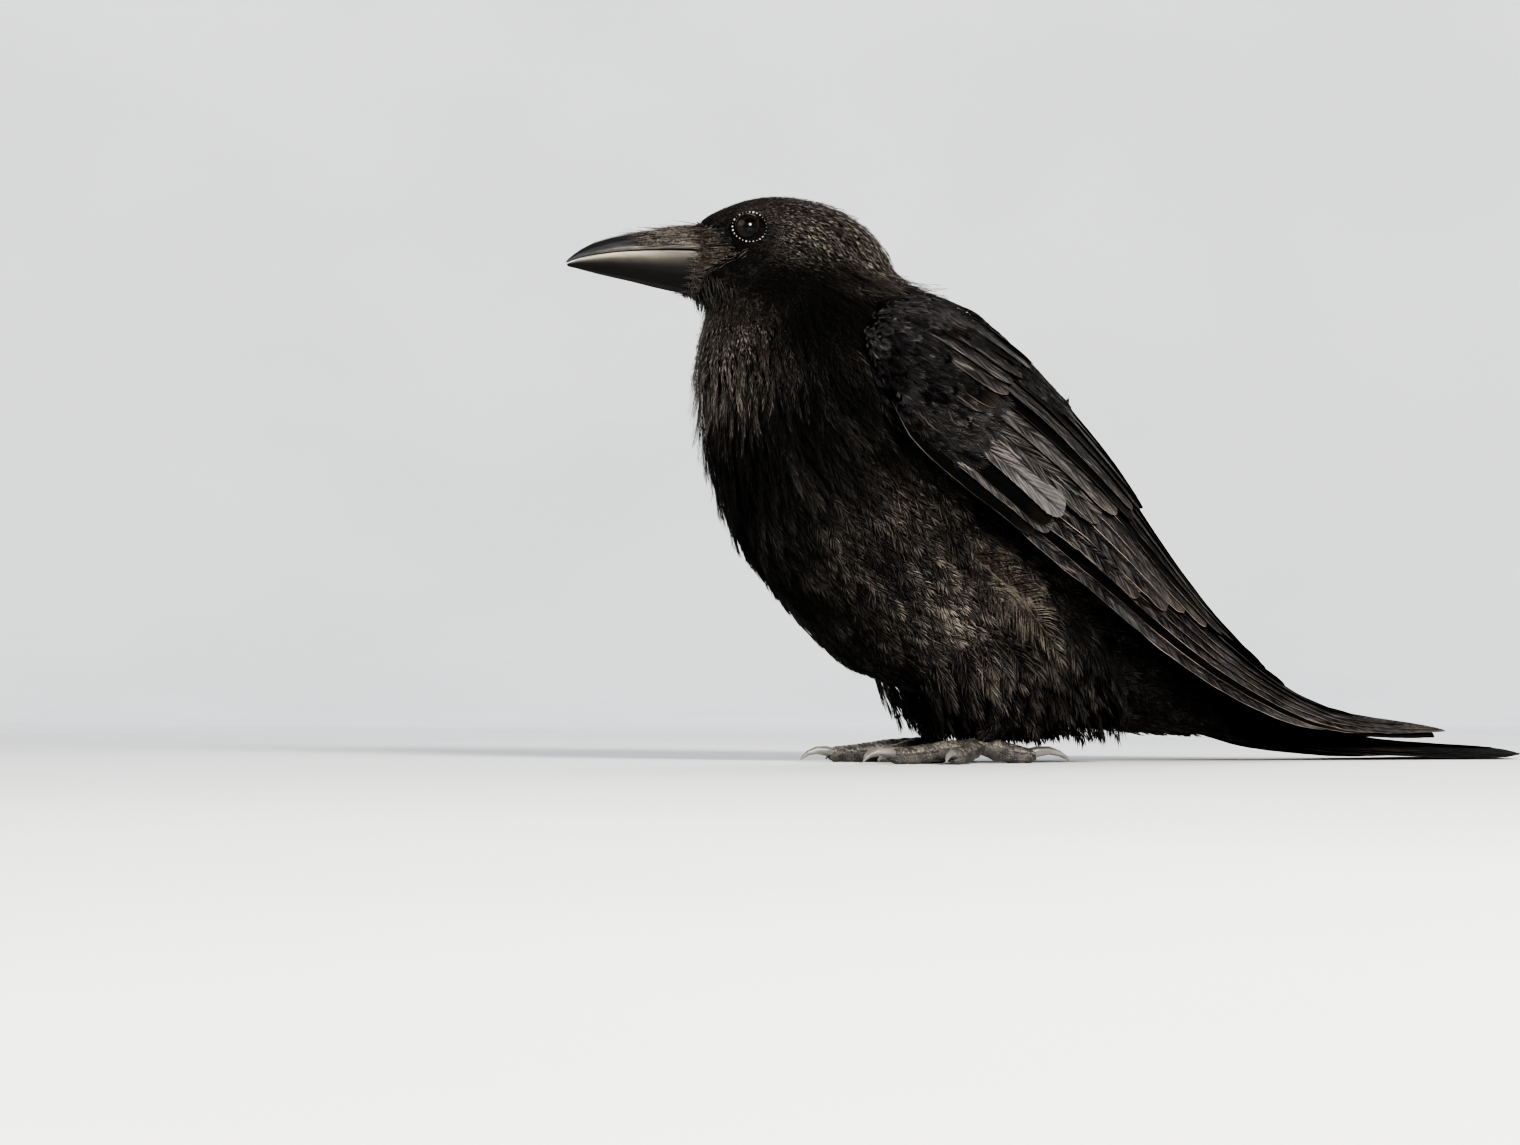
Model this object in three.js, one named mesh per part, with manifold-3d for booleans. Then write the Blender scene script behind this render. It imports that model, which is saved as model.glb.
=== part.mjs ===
// A carrion crow, life size, standing low on its feet with its tail laid on the ground.
// Millimetres, +Z up. The bird faces -X, and its left side is -Y.
// Each mass of the body is a closed skin laid along a row of stations, and thin cuts part it.
import * as THREE from "three";
import { mergeVertices } from "three/addons/utils/BufferGeometryUtils.js";
import Module from "manifold-3d";

const wasm = await Module();
wasm.setup();

// Driving dimensions

const CUT = 0.35; // clearance between neighbouring pieces
const FINENESS = 0.08; // how closely the facets keep to the curves they are cut from
// Rows and columns of facets in each skin.
const FACETS = {
  trunk: [20, 18], head: [13, 16], wing: [18, 10], tail: [14, 14], bill: [13, 14], lid: [14, 4],
  eye: [9, 14], thigh: [8, 12], tarsus: [7, 8], toe: [7, 8], claw: [7, 6],
};
// How squarely each skin closes at its two ends; higher is squarer.
const BLUNTNESS = { trunk: 20, head: 8, wing: 9, tail: 12, bill: 30, limb: 12 };
const ROOM = 900; // wider than the whole bird, for the blocks that cut it
const WELD = 1e-4; // corners of a skin closer than this are one corner
const HEAD_TURN = -10; // degrees about the neck, towards the bird's right
const NECK_PIVOT = -58; // x of the upright axis the head turns about
const NECK_TWIST = [0.62, 0.95]; // the shares of the trunk's line between which it takes up the turn

// The trunk and neck, from the root of the tail up into the head. pitch is how steeply the body
// climbs there; back and belly are the depths above and below its middle.
const TRUNK = [
  { x: 108, z: 15, pitch: 14, side: 15, back: 6, belly: 8 },
  { x: 80, z: 27, pitch: 30, side: 27, back: 17, belly: 19 },
  { x: 47, z: 44, pitch: 46, side: 41, back: 31, belly: 38 },
  { x: 14, z: 66, pitch: 54, side: 49, back: 50, belly: 60 },
  { x: -9, z: 91, pitch: 58, side: 52, back: 58, belly: 66 },
  { x: -27, z: 115, pitch: 60, side: 51, back: 58, belly: 66 },
  { x: -42, z: 138, pitch: 63, side: 46, back: 52, belly: 60 },
  { x: -54, z: 155, pitch: 67, side: 37, back: 41, belly: 48 },
  { x: -61, z: 168, pitch: 71, side: 27, back: 31, belly: 37 },
  { x: -66, z: 182, pitch: 76, side: 19, back: 22, belly: 22 },
];

// The head, from the nape to the feathers at the base of the bill.
const HEAD = [
  { x: -24, z: 174, side: 7, crown: 8, throat: 9 },
  { x: -34, z: 176, side: 14.5, crown: 16, throat: 16 },
  { x: -47, z: 179, side: 19.5, crown: 21, throat: 22 },
  { x: -62, z: 181, side: 21, crown: 22.3, throat: 25 },
  { x: -76, z: 182, side: 19.5, crown: 21, throat: 25 },
  { x: -88, z: 182, side: 15.8, crown: 17, throat: 20.5 },
  { x: -98, z: 181.5, side: 11, crown: 12.2, throat: 15.5 },
  { x: -106, z: 181, side: 7, crown: 8.6, throat: 11 },
];
const NECK_CUTS = [
  { x: -50, z: 150, pitch: 62 }, // trunk from neck
  { x: -62, z: 168, pitch: 66 }, // neck from head
];

// A folded wing, from its wrist to the tip of its longest primary. out is its distance from the
// middle of the bird, lean how far its upper edge tips inwards, half its half depth.
const WING = [
  { x: -57, z: 149, out: 38, half: 8, lean: 12, bulge: 1.5, thick: 3 },
  { x: -43, z: 147, out: 41, half: 26, lean: 20, bulge: 7, thick: 4.6 },
  { x: -22, z: 136, out: 42, half: 36, lean: 27, bulge: 9.5, thick: 5.2 },
  { x: 2, z: 119, out: 41, half: 38, lean: 33, bulge: 9.5, thick: 5.2 },
  { x: 27, z: 101, out: 38, half: 37, lean: 38, bulge: 8.5, thick: 5 },
  { x: 50, z: 80, out: 34, half: 35, lean: 43, bulge: 7, thick: 4.6 },
  { x: 73, z: 59, out: 29, half: 31, lean: 48, bulge: 5.5, thick: 4.2 },
  { x: 97, z: 40, out: 24.5, half: 25, lean: 54, bulge: 4, thick: 3.6 },
  { x: 123, z: 25, out: 20, half: 18, lean: 60, bulge: 2.6, thick: 3 },
  { x: 152, z: 14.5, out: 16.5, half: 11.5, lean: 67, bulge: 1.4, thick: 2.4 },
  { x: 184, z: 11.5, out: 14.5, half: 8.5, lean: 72, bulge: 0.8, thick: 1.8 },
  { x: 216, z: 10, out: 13, half: 4, lean: 76, bulge: 0.4, thick: 1.2 },
];
const COVERTS_END = 0.335; // share of the wing covered by its coverts
const TERTIALS_END = 0.74; // share of the wing at the tip of the longest tertial
const COVERTS_PITCH = 38; // degrees, the slope of the wing's line where its coverts end
// The line between primaries and secondaries: its height in front, -1 low edge to 1 high edge, its
// height behind, where it starts to climb, and the cut's half depth and its reach past both ends.
const FLIGHT_LINE = {
  front: -0.35, behind: 1.25, climbs: 0.55, half: 0.012, before: 0.03, after: 0.02, heavy: 3,
};

// The closed tail, from the rump to its tip, which lies on the ground.
const TAIL = [
  { x: 74, z: 31, side: 19, thick: 9 },
  { x: 98, z: 20.5, side: 25, thick: 7.5 },
  { x: 124, z: 11.5, side: 29, thick: 6 },
  { x: 154, z: 5.8, side: 32, thick: 4.6 },
  { x: 194, z: 3, side: 35, thick: 3.4 },
  { x: 240, z: 1.6, side: 34, thick: 2 },
];

// The bill, from its feathered base to its tip. gape is the height of the mouth line.
const BILL = [
  { x: -93, gape: 181.2, side: 9.6, culmen: 11.6, gonys: 15.5 },
  { x: -104, gape: 181.7, side: 8.4, culmen: 9.6, gonys: 14.6 },
  { x: -113, gape: 181.6, side: 7.2, culmen: 8.1, gonys: 12.9 },
  { x: -122, gape: 181.2, side: 6, culmen: 6.9, gonys: 10.5 },
  { x: -130, gape: 180.5, side: 4.7, culmen: 5.6, gonys: 8.3 },
  { x: -137, gape: 179.3, side: 3.3, culmen: 4.2, gonys: 5.6 },
  { x: -142.5, gape: 177.7, side: 1.9, culmen: 2.3, gonys: 2.7 },
  { x: -146, gape: 176.2, side: 0.6, culmen: 0.8, gonys: 0.8 },
];
const LOWER_BILL_SHARE = 0.97; // the lower mandible ends just short of the upper
const BILL_RIDGE = 1.15; // above 1 the ridge and the keel are narrower than a half round
const TAIL_FLATNESS = 0.7; // below 1 the tail is flatter than a half round

const EYE = { x: -83.2, out: 11.5, z: 189.4, radius: 6.8 };
const LID = { halfLength: 5.7, halfHeight: 4.8, radius: 0.65, points: 16 };

// A leg: the foot's joint stands over x 0, and the heel is hidden in the flank.
const LEG = { stance: 22, foot: { x: 0, z: 8.5 }, heel: { x: 38, z: 45 }, knee: { x: -14, z: 66 } };
const TARSUS = { radius: 3.1, jointSwell: 1.2 };
// The thigh's feathers end at the share low of the shank. It sags by sag at the share bend of the
// way from knee to heel, and turns down at the share turn of the way on from the heel.
const THIGH = {
  kneeRadius: 21, heelRadius: 10, kneeOut: 35, low: 0.42, taper: 1.15, sag: 4, bend: 0.55, turn: 0.4,
};
// Each toe's direction from straight ahead, outwards positive; the first toe points back.
const TOES = [
  { name: "1", turn: 172, reach: 21, radius: 3.1, claw: 15 },
  { name: "2", turn: -27, reach: 26, radius: 2.9, claw: 11 },
  { name: "3", turn: 4, reach: 37, radius: 3.1, claw: 12 },
  { name: "4", turn: 44, reach: 28, radius: 2.8, claw: 10 },
];
// A toe's centre line: share of its reach, and height over the lie of its last joint.
const TOE_LINE = [
  { share: 0.33, rise: 2.2 },
  { share: 0.66, rise: 0.6 },
  { share: 1, rise: 0.2 },
];
const TOE = { lie: 0.8, rootDrop: 2.5, rootSwell: 1.06, thinning: 0.14, padSwell: 0.07, pads: 3 };
// A claw's centre line past its toe: share of its length, and height over the toe's lie.
const CLAW_LINE = [
  { share: 0.32, rise: 2 },
  { share: 0.72, rise: 0.6 },
];
const CLAW = {
  rootRadius: 1.95, tipRadius: 0.42, taper: 0.8, sunk: 3, rootRise: 0.6, tipShare: 0.95, tipHeight: 0.5,
};

const COLOURS = {
  plumage: [0x0b0b0d, 0.5],
  wing: [0x101013, 0.42],
  horn: [0x1b1b1c, 0.32],
  claw: [0x161515, 0.35],
  legs: [0x2a2724, 0.6],
  eye: [0x0d0705, 0.06],
};

// Skins and solids

const radians = THREE.MathUtils.degToRad;
const UPRIGHT = new THREE.Vector3(0, 0, 1);

// Reads every value of a row of stations smoothly at t, from 0 at the first to 1 at the last.
function along(stations) {
  const names = Object.keys(stations[0]);
  const curves = names.map(
    (name) => new THREE.SplineCurve(stations.map((s, i) => new THREE.Vector2(i, s[name]))),
  );
  return (t) => Object.fromEntries(names.map((name, i) => [name, curves[i].getPoint(t).y]));
}

// A closed skin. Its rows lie at t 0 to 1, closest together at both ends, where they close to a
// point; place(t, cos, sin) puts each point of a row.
function skin([rows, columns], place) {
  const geometry = new THREE.SphereGeometry(1, columns, rows);
  const position = geometry.getAttribute("position");
  const uv = geometry.getAttribute("uv");
  for (let i = 0; i < position.count; i++) {
    const turn = uv.getX(i) * 2 * Math.PI;
    const t = (1 + Math.cos(uv.getY(i) * Math.PI)) / 2;
    const p = place(t, Math.cos(turn), Math.sin(turn));
    position.setXYZ(i, p.x, p.y, p.z);
  }
  return geometry;
}

// 0 at both ends of t and 1 between them; a higher bluntness gives squarer ends.
const closing = (t, bluntness) => Math.sqrt(Math.max(0, 1 - Math.abs(2 * t - 1) ** bluntness));

// The solid inside a closed skin, its surface moved outwards by grow.
function solid(geometry, grow = 0) {
  const bare = geometry.clone();
  bare.deleteAttribute("normal");
  bare.deleteAttribute("uv");
  const merged = mergeVertices(bare, WELD);
  const vertProperties = merged.getAttribute("position").array;
  const triVerts = new Uint32Array(merged.index.array);
  const bareSolid = new wasm.Manifold(new wasm.Mesh({ numProp: 3, vertProperties, triVerts }));
  const facing = Math.sign(bareSolid.volume());
  if (facing < 0) triVerts.reverse();
  merged.computeVertexNormals();
  const normals = merged.getAttribute("normal").array;
  const moved = vertProperties.map((value, i) => value + normals[i] * grow * facing);
  return new wasm.Manifold(new wasm.Mesh({ numProp: 3, vertProperties: moved, triVerts }));
}

// The largest of the bodies a cut leaves.
const largest = (made) => made.decompose().sort((a, b) => b.volume() - a.volume())[0];

const without = (made, others) => largest(others.reduce((left, o) => left.subtract(o), made));

const box = (width, depth, height, place) =>
  solid(new THREE.BoxGeometry(width, depth, height).applyMatrix4(place));

// Everything above the ground.
const aboveGround = box(ROOM, ROOM, ROOM, new THREE.Matrix4().makeTranslation(0, 0, ROOM / 2));

// Body

const trunkAt = along(TRUNK);
const headAt = along(HEAD);

// The head turns about the neck's upright axis: nothing at the shoulders, all of it at the crown.
function turned(p, share) {
  const pivot = new THREE.Vector3(NECK_PIVOT, 0, 0);
  return p.sub(pivot).applyAxisAngle(UPRIGHT, radians(HEAD_TURN * share)).add(pivot);
}

function trunkSkin() {
  return skin(FACETS.trunk, (t, cos, sin) => {
    const s = trunkAt(t);
    const close = closing(t, BLUNTNESS.trunk);
    const pitch = radians(s.pitch);
    const rise = (cos > 0 ? s.back : s.belly) * close * cos;
    const p = new THREE.Vector3(
      s.x + Math.sin(pitch) * rise,
      -s.side * close * sin,
      s.z + Math.cos(pitch) * rise,
    );
    return turned(p, THREE.MathUtils.smoothstep(t, ...NECK_TWIST));
  });
}

function headSkin() {
  return skin(FACETS.head, (t, cos, sin) => {
    const s = headAt(t);
    const close = closing(t, BLUNTNESS.head);
    const rise = (cos > 0 ? s.crown : s.throat) * close * cos;
    return turned(new THREE.Vector3(s.x, -s.side * close * sin, s.z + rise), 1);
  });
}

// A block across the body, square to its line; big enough to take one side of it all.
function bodyHalf({ x, z, pitch }, headSide) {
  const away = (headSide ? -1 : 1) * (ROOM + CUT) * 0.5;
  const place = new THREE.Matrix4()
    .makeTranslation(x, 0, z)
    .multiply(new THREE.Matrix4().makeRotationY(radians(pitch)))
    .multiply(new THREE.Matrix4().makeTranslation(away, 0, 0));
  return box(ROOM, ROOM, ROOM, place);
}

// Wings

const wingAt = along(WING);

// side is -1 for the left wing and 1 for the right. low and high are the part of the wing's depth
// that is wanted, from -1 at its lower edge to 1 at its upper one.
function wingSkin(side, { low = () => -1, high = () => 1, start = 0, end = 1, heavy = 1 } = {}) {
  return skin(FACETS.wing, (row, cos, sin) => {
    const t = start + (end - start) * row;
    const s = wingAt(t);
    const near = 0.01;
    const ahead = wingAt(Math.min(1, t + near));
    const behind = wingAt(Math.max(0, t - near));
    const slope = Math.atan2(ahead.z - behind.z, ahead.x - behind.x);
    const lean = radians(s.lean);
    const rise = new THREE.Vector3(-Math.sin(slope), 0, Math.cos(slope));
    const outward = new THREE.Vector3(0, side, 0);
    const upEdge = rise
      .clone()
      .multiplyScalar(Math.cos(lean))
      .addScaledVector(outward, -Math.sin(lean));
    const normal = outward.multiplyScalar(Math.cos(lean)).addScaledVector(rise, Math.sin(lean));
    const close = closing(row, BLUNTNESS.wing);
    const u = (high(t) + low(t)) / 2 + ((high(t) - low(t)) / 2) * cos * close;
    const across = Math.sign(sin) * Math.sqrt(Math.abs(sin)) * s.thick * heavy * close;
    return new THREE.Vector3(s.x, side * s.out, s.z)
      .addScaledVector(upEdge, u * s.half)
      .addScaledVector(normal, s.bulge * (1 - u * u) + across);
  });
}

// The wing's three parts: coverts in front, then primaries below and secondaries above.
function wingParts(side) {
  const whole = solid(wingSkin(side));
  const { front, behind, climbs, half, before, after, heavy } = FLIGHT_LINE;
  const climb = (t) =>
    front + (behind - front) * THREE.MathUtils.smoothstep(t, climbs, TERTIALS_END);
  const blade = wingSkin(side, {
    low: (t) => climb(t) - half,
    high: (t) => climb(t) + half,
    start: COVERTS_END - before,
    end: TERTIALS_END + after,
    heavy,
  });
  const line = wingAt(COVERTS_END);
  const cut = { x: line.x, z: line.z, pitch: COVERTS_PITCH };
  const coverts = largest(whole.intersect(bodyHalf(cut, true)));
  const flight = whole.intersect(bodyHalf(cut, false)).subtract(solid(blade)).decompose();
  const pair = flight.sort((a, b) => b.volume() - a.volume()).slice(0, 2);
  const [secondaries, primaries] = pair.sort(
    (a, b) => b.boundingBox().max[2] - a.boundingBox().max[2],
  );
  return { coverts, secondaries, primaries };
}

// Tail

const tailAt = along(TAIL);

function tailSkin() {
  return skin(FACETS.tail, (t, cos, sin) => {
    const s = tailAt(t);
    const close = closing(t, BLUNTNESS.tail);
    const flat = Math.sign(cos) * Math.abs(cos) ** TAIL_FLATNESS;
    return new THREE.Vector3(s.x, -s.side * close * sin, s.z + s.thick * close * flat);
  });
}

// Head

const billAt = along(BILL);

// One mandible. rise is 1 for the upper and -1 for the lower; both are flat at the mouth line.
function mandible(rise) {
  const share = rise > 0 ? 1 : LOWER_BILL_SHARE;
  return skin(FACETS.bill, (t, cos, sin) => {
    const s = billAt(t * share);
    const close = closing(t, BLUNTNESS.bill);
    const depth = rise > 0 ? s.culmen : s.gonys;
    const up = Math.max(0, cos) ** BILL_RIDGE * depth * close;
    const p = new THREE.Vector3(s.x, -s.side * close * sin, s.gape + rise * (up + CUT / 2));
    return turned(p, 1);
  });
}

// A thin lid that lies on the ball of the eye, all round the part that shows.
function lid(side) {
  const around = Array.from({ length: LID.points }, (_, i) => {
    const turn = (i / LID.points) * 2 * Math.PI;
    const ahead = LID.halfLength * Math.cos(turn);
    const up = LID.halfHeight * Math.sin(turn);
    const out = Math.sqrt(EYE.radius ** 2 - ahead ** 2 - up ** 2);
    return turned(new THREE.Vector3(EYE.x + ahead, side * (EYE.out + out), EYE.z + up), 1);
  });
  const [rows, columns] = FACETS.lid;
  return new THREE.TubeGeometry(new THREE.CatmullRomCurve3(around, true), rows, LID.radius, columns, true);
}

function eye(side) {
  const place = turned(new THREE.Vector3(EYE.x, side * EYE.out, EYE.z), 1);
  const [rows, columns] = FACETS.eye;
  return new THREE.SphereGeometry(EYE.radius, columns, rows).translate(place.x, place.y, place.z);
}

// Legs

// A round limb along a curve; radius(t) is its half thickness at t.
function limb(points, radius, facets) {
  const curve = new THREE.CatmullRomCurve3(points);
  const aside = 0.001; // keeps the sideways direction defined on an upright stretch
  return skin(facets, (t, cos, sin) => {
    const heading = curve.getTangent(t);
    const sideways = new THREE.Vector3(-heading.y, heading.x, aside).normalize();
    const upwards = new THREE.Vector3().crossVectors(heading, sideways).normalize();
    const r = radius(t) * closing(t, BLUNTNESS.limb);
    return curve.getPoint(t).addScaledVector(upwards, r * cos).addScaledVector(sideways, r * sin);
  });
}

const onLeg = (side, place, out = LEG.stance) => new THREE.Vector3(place.x, side * out, place.z);

function thigh(side) {
  const knee = onLeg(side, LEG.knee, THIGH.kneeOut);
  const heel = onLeg(side, LEG.heel);
  const low = heel.clone().lerp(onLeg(side, LEG.foot), THIGH.low);
  const sag = new THREE.Vector3(-THIGH.sag, 0, -THIGH.sag);
  const middle = knee.clone().lerp(heel, THIGH.bend).add(sag);
  const radius = (t) =>
    THREE.MathUtils.lerp(THIGH.kneeRadius, THIGH.heelRadius, Math.min(1, t * THIGH.taper));
  return limb([knee, middle, heel.clone().lerp(low, THIGH.turn), low], radius, FACETS.thigh);
}

function tarsus(side) {
  const foot = onLeg(side, LEG.foot);
  const heel = onLeg(side, LEG.heel);
  const radius = (t) => TARSUS.radius + TARSUS.jointSwell * Math.abs(2 * t - 1) ** 3;
  return limb([heel, heel.clone().lerp(foot, 0.5), foot], radius, FACETS.tarsus);
}

// The way a toe points, as a unit vector over the ground.
const toeHeading = (side, toe) =>
  new THREE.Vector3(-Math.cos(radians(toe.turn)), side * Math.sin(radians(toe.turn)), 0);

function toePoint(side, toe, reach, height) {
  return onLeg(side, { x: LEG.foot.x, z: height }).addScaledVector(toeHeading(side, toe), reach);
}

// A toe: low pads that rest on the ground, each joint a little thicker than the stretch between.
function toe(side, spec) {
  const lie = spec.radius * TOE.lie;
  const points = [
    toePoint(side, spec, 0, LEG.foot.z - TOE.rootDrop),
    ...TOE_LINE.map(({ share, rise }) => toePoint(side, spec, spec.reach * share, lie + rise)),
  ];
  const pads = (t) =>
    spec.radius *
    (TOE.rootSwell - TOE.thinning * t + TOE.padSwell * Math.cos(t * TOE.pads * 2 * Math.PI));
  return limb(points, pads, FACETS.toe);
}

// A claw: a thin horn that curves down to touch the ground with its tip.
function claw(side, spec) {
  const lie = spec.radius * TOE.lie;
  const beyond = (share) => spec.reach + spec.claw * share;
  const points = [
    toePoint(side, spec, spec.reach - CLAW.sunk, lie + CLAW.rootRise),
    ...CLAW_LINE.map(({ share, rise }) => toePoint(side, spec, beyond(share), lie + rise)),
    toePoint(side, spec, beyond(CLAW.tipShare), CLAW.tipHeight),
  ];
  const taper = (t) => THREE.MathUtils.lerp(CLAW.rootRadius, CLAW.tipRadius, t ** CLAW.taper);
  return limb(points, taper, FACETS.claw);
}

// Assembly

const crow = new THREE.Group();

function add(name, made, finish) {
  const mesh = largest(made.simplify(FINENESS)).getMesh();
  const geometry = new THREE.BufferGeometry()
    .setAttribute("position", new THREE.BufferAttribute(new Float32Array(mesh.vertProperties), 3))
    .setIndex(new THREE.BufferAttribute(mesh.triVerts, 1));
  const [color, roughness] = COLOURS[finish];
  const material = new THREE.MeshStandardMaterial({ color, roughness, metalness: 0 });
  const part = new THREE.Mesh(geometry, material);
  part.name = name;
  crow.add(part);
}

const SIDES = [
  ["left", -1],
  ["right", 1],
];

const grown = (geometry) => solid(geometry, CUT);
const grownWings = SIDES.map(([, side]) => grown(wingSkin(side)));
const sockets = SIDES.map(([, side]) => solid(eye(side), LID.radius + CUT));
const limbs = SIDES.flatMap(([, side]) => [thigh(side), tarsus(side)]);
const cutters = [...grownWings, ...sockets];
cutters.push(...[...limbs, tailSkin(), mandible(1), mandible(-1)].map(grown));

const flesh = solid(trunkSkin()).add(solid(headSkin()));
const [shoulderCut, napeCut] = NECK_CUTS;
const behindShoulder = flesh.intersect(bodyHalf(shoulderCut, false));
const beforeShoulder = flesh.intersect(bodyHalf(shoulderCut, true));
add("trunk", without(behindShoulder, cutters), "plumage");
add("neck", without(beforeShoulder.intersect(bodyHalf(napeCut, false)), cutters), "plumage");
add("head", without(beforeShoulder.intersect(bodyHalf(napeCut, true)), cutters), "plumage");
add("bill_upper", solid(mandible(1)), "horn");
add("bill_lower", solid(mandible(-1)), "horn");
add("tail", without(solid(tailSkin()).intersect(aboveGround), grownWings), "wing");

for (const [label, side] of SIDES) {
  add(`eye_${label}`, solid(eye(side)), "eye");
  add(`lid_${label}`, without(solid(lid(side)), [grown(eye(side))]), "legs");
  const { coverts, secondaries, primaries } = wingParts(side);
  add(`wing_${label}_coverts`, coverts, "wing");
  add(`wing_${label}_secondaries`, secondaries, "wing");
  add(`wing_${label}_primaries`, primaries, "wing");
  const shank = tarsus(side);
  add(`thigh_${label}`, without(solid(thigh(side)), [...grownWings, grown(shank)]), "plumage");
  add(`tarsus_${label}`, solid(shank).intersect(aboveGround), "legs");
  const joined = [grown(shank)];
  for (const spec of TOES) {
    const pad = solid(toe(side, spec)).intersect(aboveGround);
    const nail = claw(side, spec);
    add(`toe_${label}_${spec.name}`, without(pad, [...joined, grown(nail)]), "legs");
    add(`claw_${label}_${spec.name}`, solid(nail).intersect(aboveGround), "claw");
    joined.push(grown(toe(side, spec)));
  }
}

// The origin is the middle of the bird's box, on the ground.
const extent = new THREE.Box3().setFromObject(crow);
const middle = extent.getCenter(new THREE.Vector3());
crow.position.set(-middle.x, -middle.y, -extent.min.z);

export default crow;
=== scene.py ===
import math
import bpy
import bmesh
import numpy as np
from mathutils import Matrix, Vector
from mathutils.bvhtree import BVHTree


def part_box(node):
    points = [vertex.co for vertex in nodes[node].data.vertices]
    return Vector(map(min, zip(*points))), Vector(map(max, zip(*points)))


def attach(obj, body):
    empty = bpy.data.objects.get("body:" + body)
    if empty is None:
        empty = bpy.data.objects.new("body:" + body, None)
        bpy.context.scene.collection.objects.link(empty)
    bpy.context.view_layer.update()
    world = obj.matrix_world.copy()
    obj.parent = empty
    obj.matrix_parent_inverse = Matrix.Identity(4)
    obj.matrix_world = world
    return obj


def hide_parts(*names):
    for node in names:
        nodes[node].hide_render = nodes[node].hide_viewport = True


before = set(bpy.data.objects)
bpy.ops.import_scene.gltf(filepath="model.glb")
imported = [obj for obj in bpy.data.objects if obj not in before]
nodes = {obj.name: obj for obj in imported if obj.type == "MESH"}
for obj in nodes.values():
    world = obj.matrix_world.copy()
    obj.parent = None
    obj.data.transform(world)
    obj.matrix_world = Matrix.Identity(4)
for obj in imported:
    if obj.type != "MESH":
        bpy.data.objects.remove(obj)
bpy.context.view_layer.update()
sides = {"left": -1.0, "right": 1.0}
mm = 0.001
print("crow: frame loaded")

cameraPlan = {
    "azimuth": -25.0,  # degrees round from the bird's left side towards its front
    "elevation": -1.8,
    "distance": 1.4,
    "target": (-0.1101, 0.0291, 0.069),
    "viewWidth": 0.5527,  # metres seen across at the target
    "sensor": 36.0,
    "clip": 0.01,
}


def addObject(name, data):
    thing = bpy.data.objects.new(name, data)
    bpy.context.scene.collection.objects.link(thing)
    return thing


def aimAt(thing, target):
    thing.rotation_euler = (Vector(target) - thing.location).to_track_quat("-Z", "Y").to_euler()


def placeCamera(plan):
    azimuth = math.radians(plan["azimuth"])
    elevation = math.radians(plan["elevation"])
    away = Vector((
        math.sin(azimuth) * math.cos(elevation),
        -math.cos(azimuth) * math.cos(elevation),
        math.sin(elevation),
    ))
    data = bpy.data.cameras.new("camera")
    data.sensor_width = plan["sensor"]
    data.lens = plan["sensor"] * plan["distance"] / plan["viewWidth"]
    data.clip_start = plan["clip"]
    camera = addObject("camera", data)
    camera.location = Vector(plan["target"]) + away * plan["distance"]
    aimAt(camera, plan["target"])
    bpy.context.scene.camera = camera


lightPlan = {
    # name: place, size in metres, watts, colour
    "key": ((-0.05, -2.04, 0.98), 0.6, 104.0, (1.0, 0.95, 0.88)),
    "front": ((-1.9, -0.9, 1.4), 1.8, 20.0, (1.0, 0.97, 0.93)),
    "back": ((0.9, 1.5, 1.7), 1.8, 20.0, (0.93, 0.96, 1.0)),
}
lightTarget = (0.0, 0.0, 0.09)
skyPlan = {"look": "AgX - High Contrast", "colour": (0.86, 0.90, 0.96), "strength": 0.16}


def placeLights(plan, target):
    for name, (place, size, watts, colour) in plan.items():
        data = bpy.data.lights.new(name, "AREA")
        data.shape = "DISK"
        data.size = size
        data.energy = watts
        data.color = colour
        lamp = addObject(name, data)
        lamp.location = place
        aimAt(lamp, target)


def placeWorld(plan):
    bpy.context.scene.view_settings.look = plan["look"]
    world = bpy.data.worlds.new("studio")
    world.use_nodes = True
    background = world.node_tree.nodes["Background"]
    background.inputs["Color"].default_value = (*plan["colour"], 1.0)
    background.inputs["Strength"].default_value = plan["strength"]
    bpy.context.scene.world = world


def bridgeRings(shape, rings):
    # bands of faces between closed rings of corners; a ring may be a single corner
    for inner, outer in zip(rings, rings[1:]):
        spokes = max(len(inner), len(outer))
        for a in range(spokes):
            b = (a + 1) % spokes
            pairs = ((inner, a), (outer, a), (outer, b), (inner, b))
            corners = [ring[place % len(ring)] for ring, place in pairs]
            shape.faces.new(list(dict.fromkeys(corners)))


def smoothMesh(name, shape):
    mesh = bpy.data.meshes.new(name)
    shape.to_mesh(mesh)
    shape.free()
    mesh.shade_smooth()
    return mesh


floorPlan = {
    "flat": (0.4, 0.9, 2.3),  # radii of the flat rings
    "bend": 1.3, "bendSteps": 14, "wall": 1.6, "spokes": 96,
    "colours": ((0.60, 0.61, 0.62), (0.64, 0.65, 0.66)), "cloud": 3.0, "roughness": 0.75,
    "glow": 0.62, "glowFrom": 0.4, "glowTo": 3.4,
}


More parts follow.
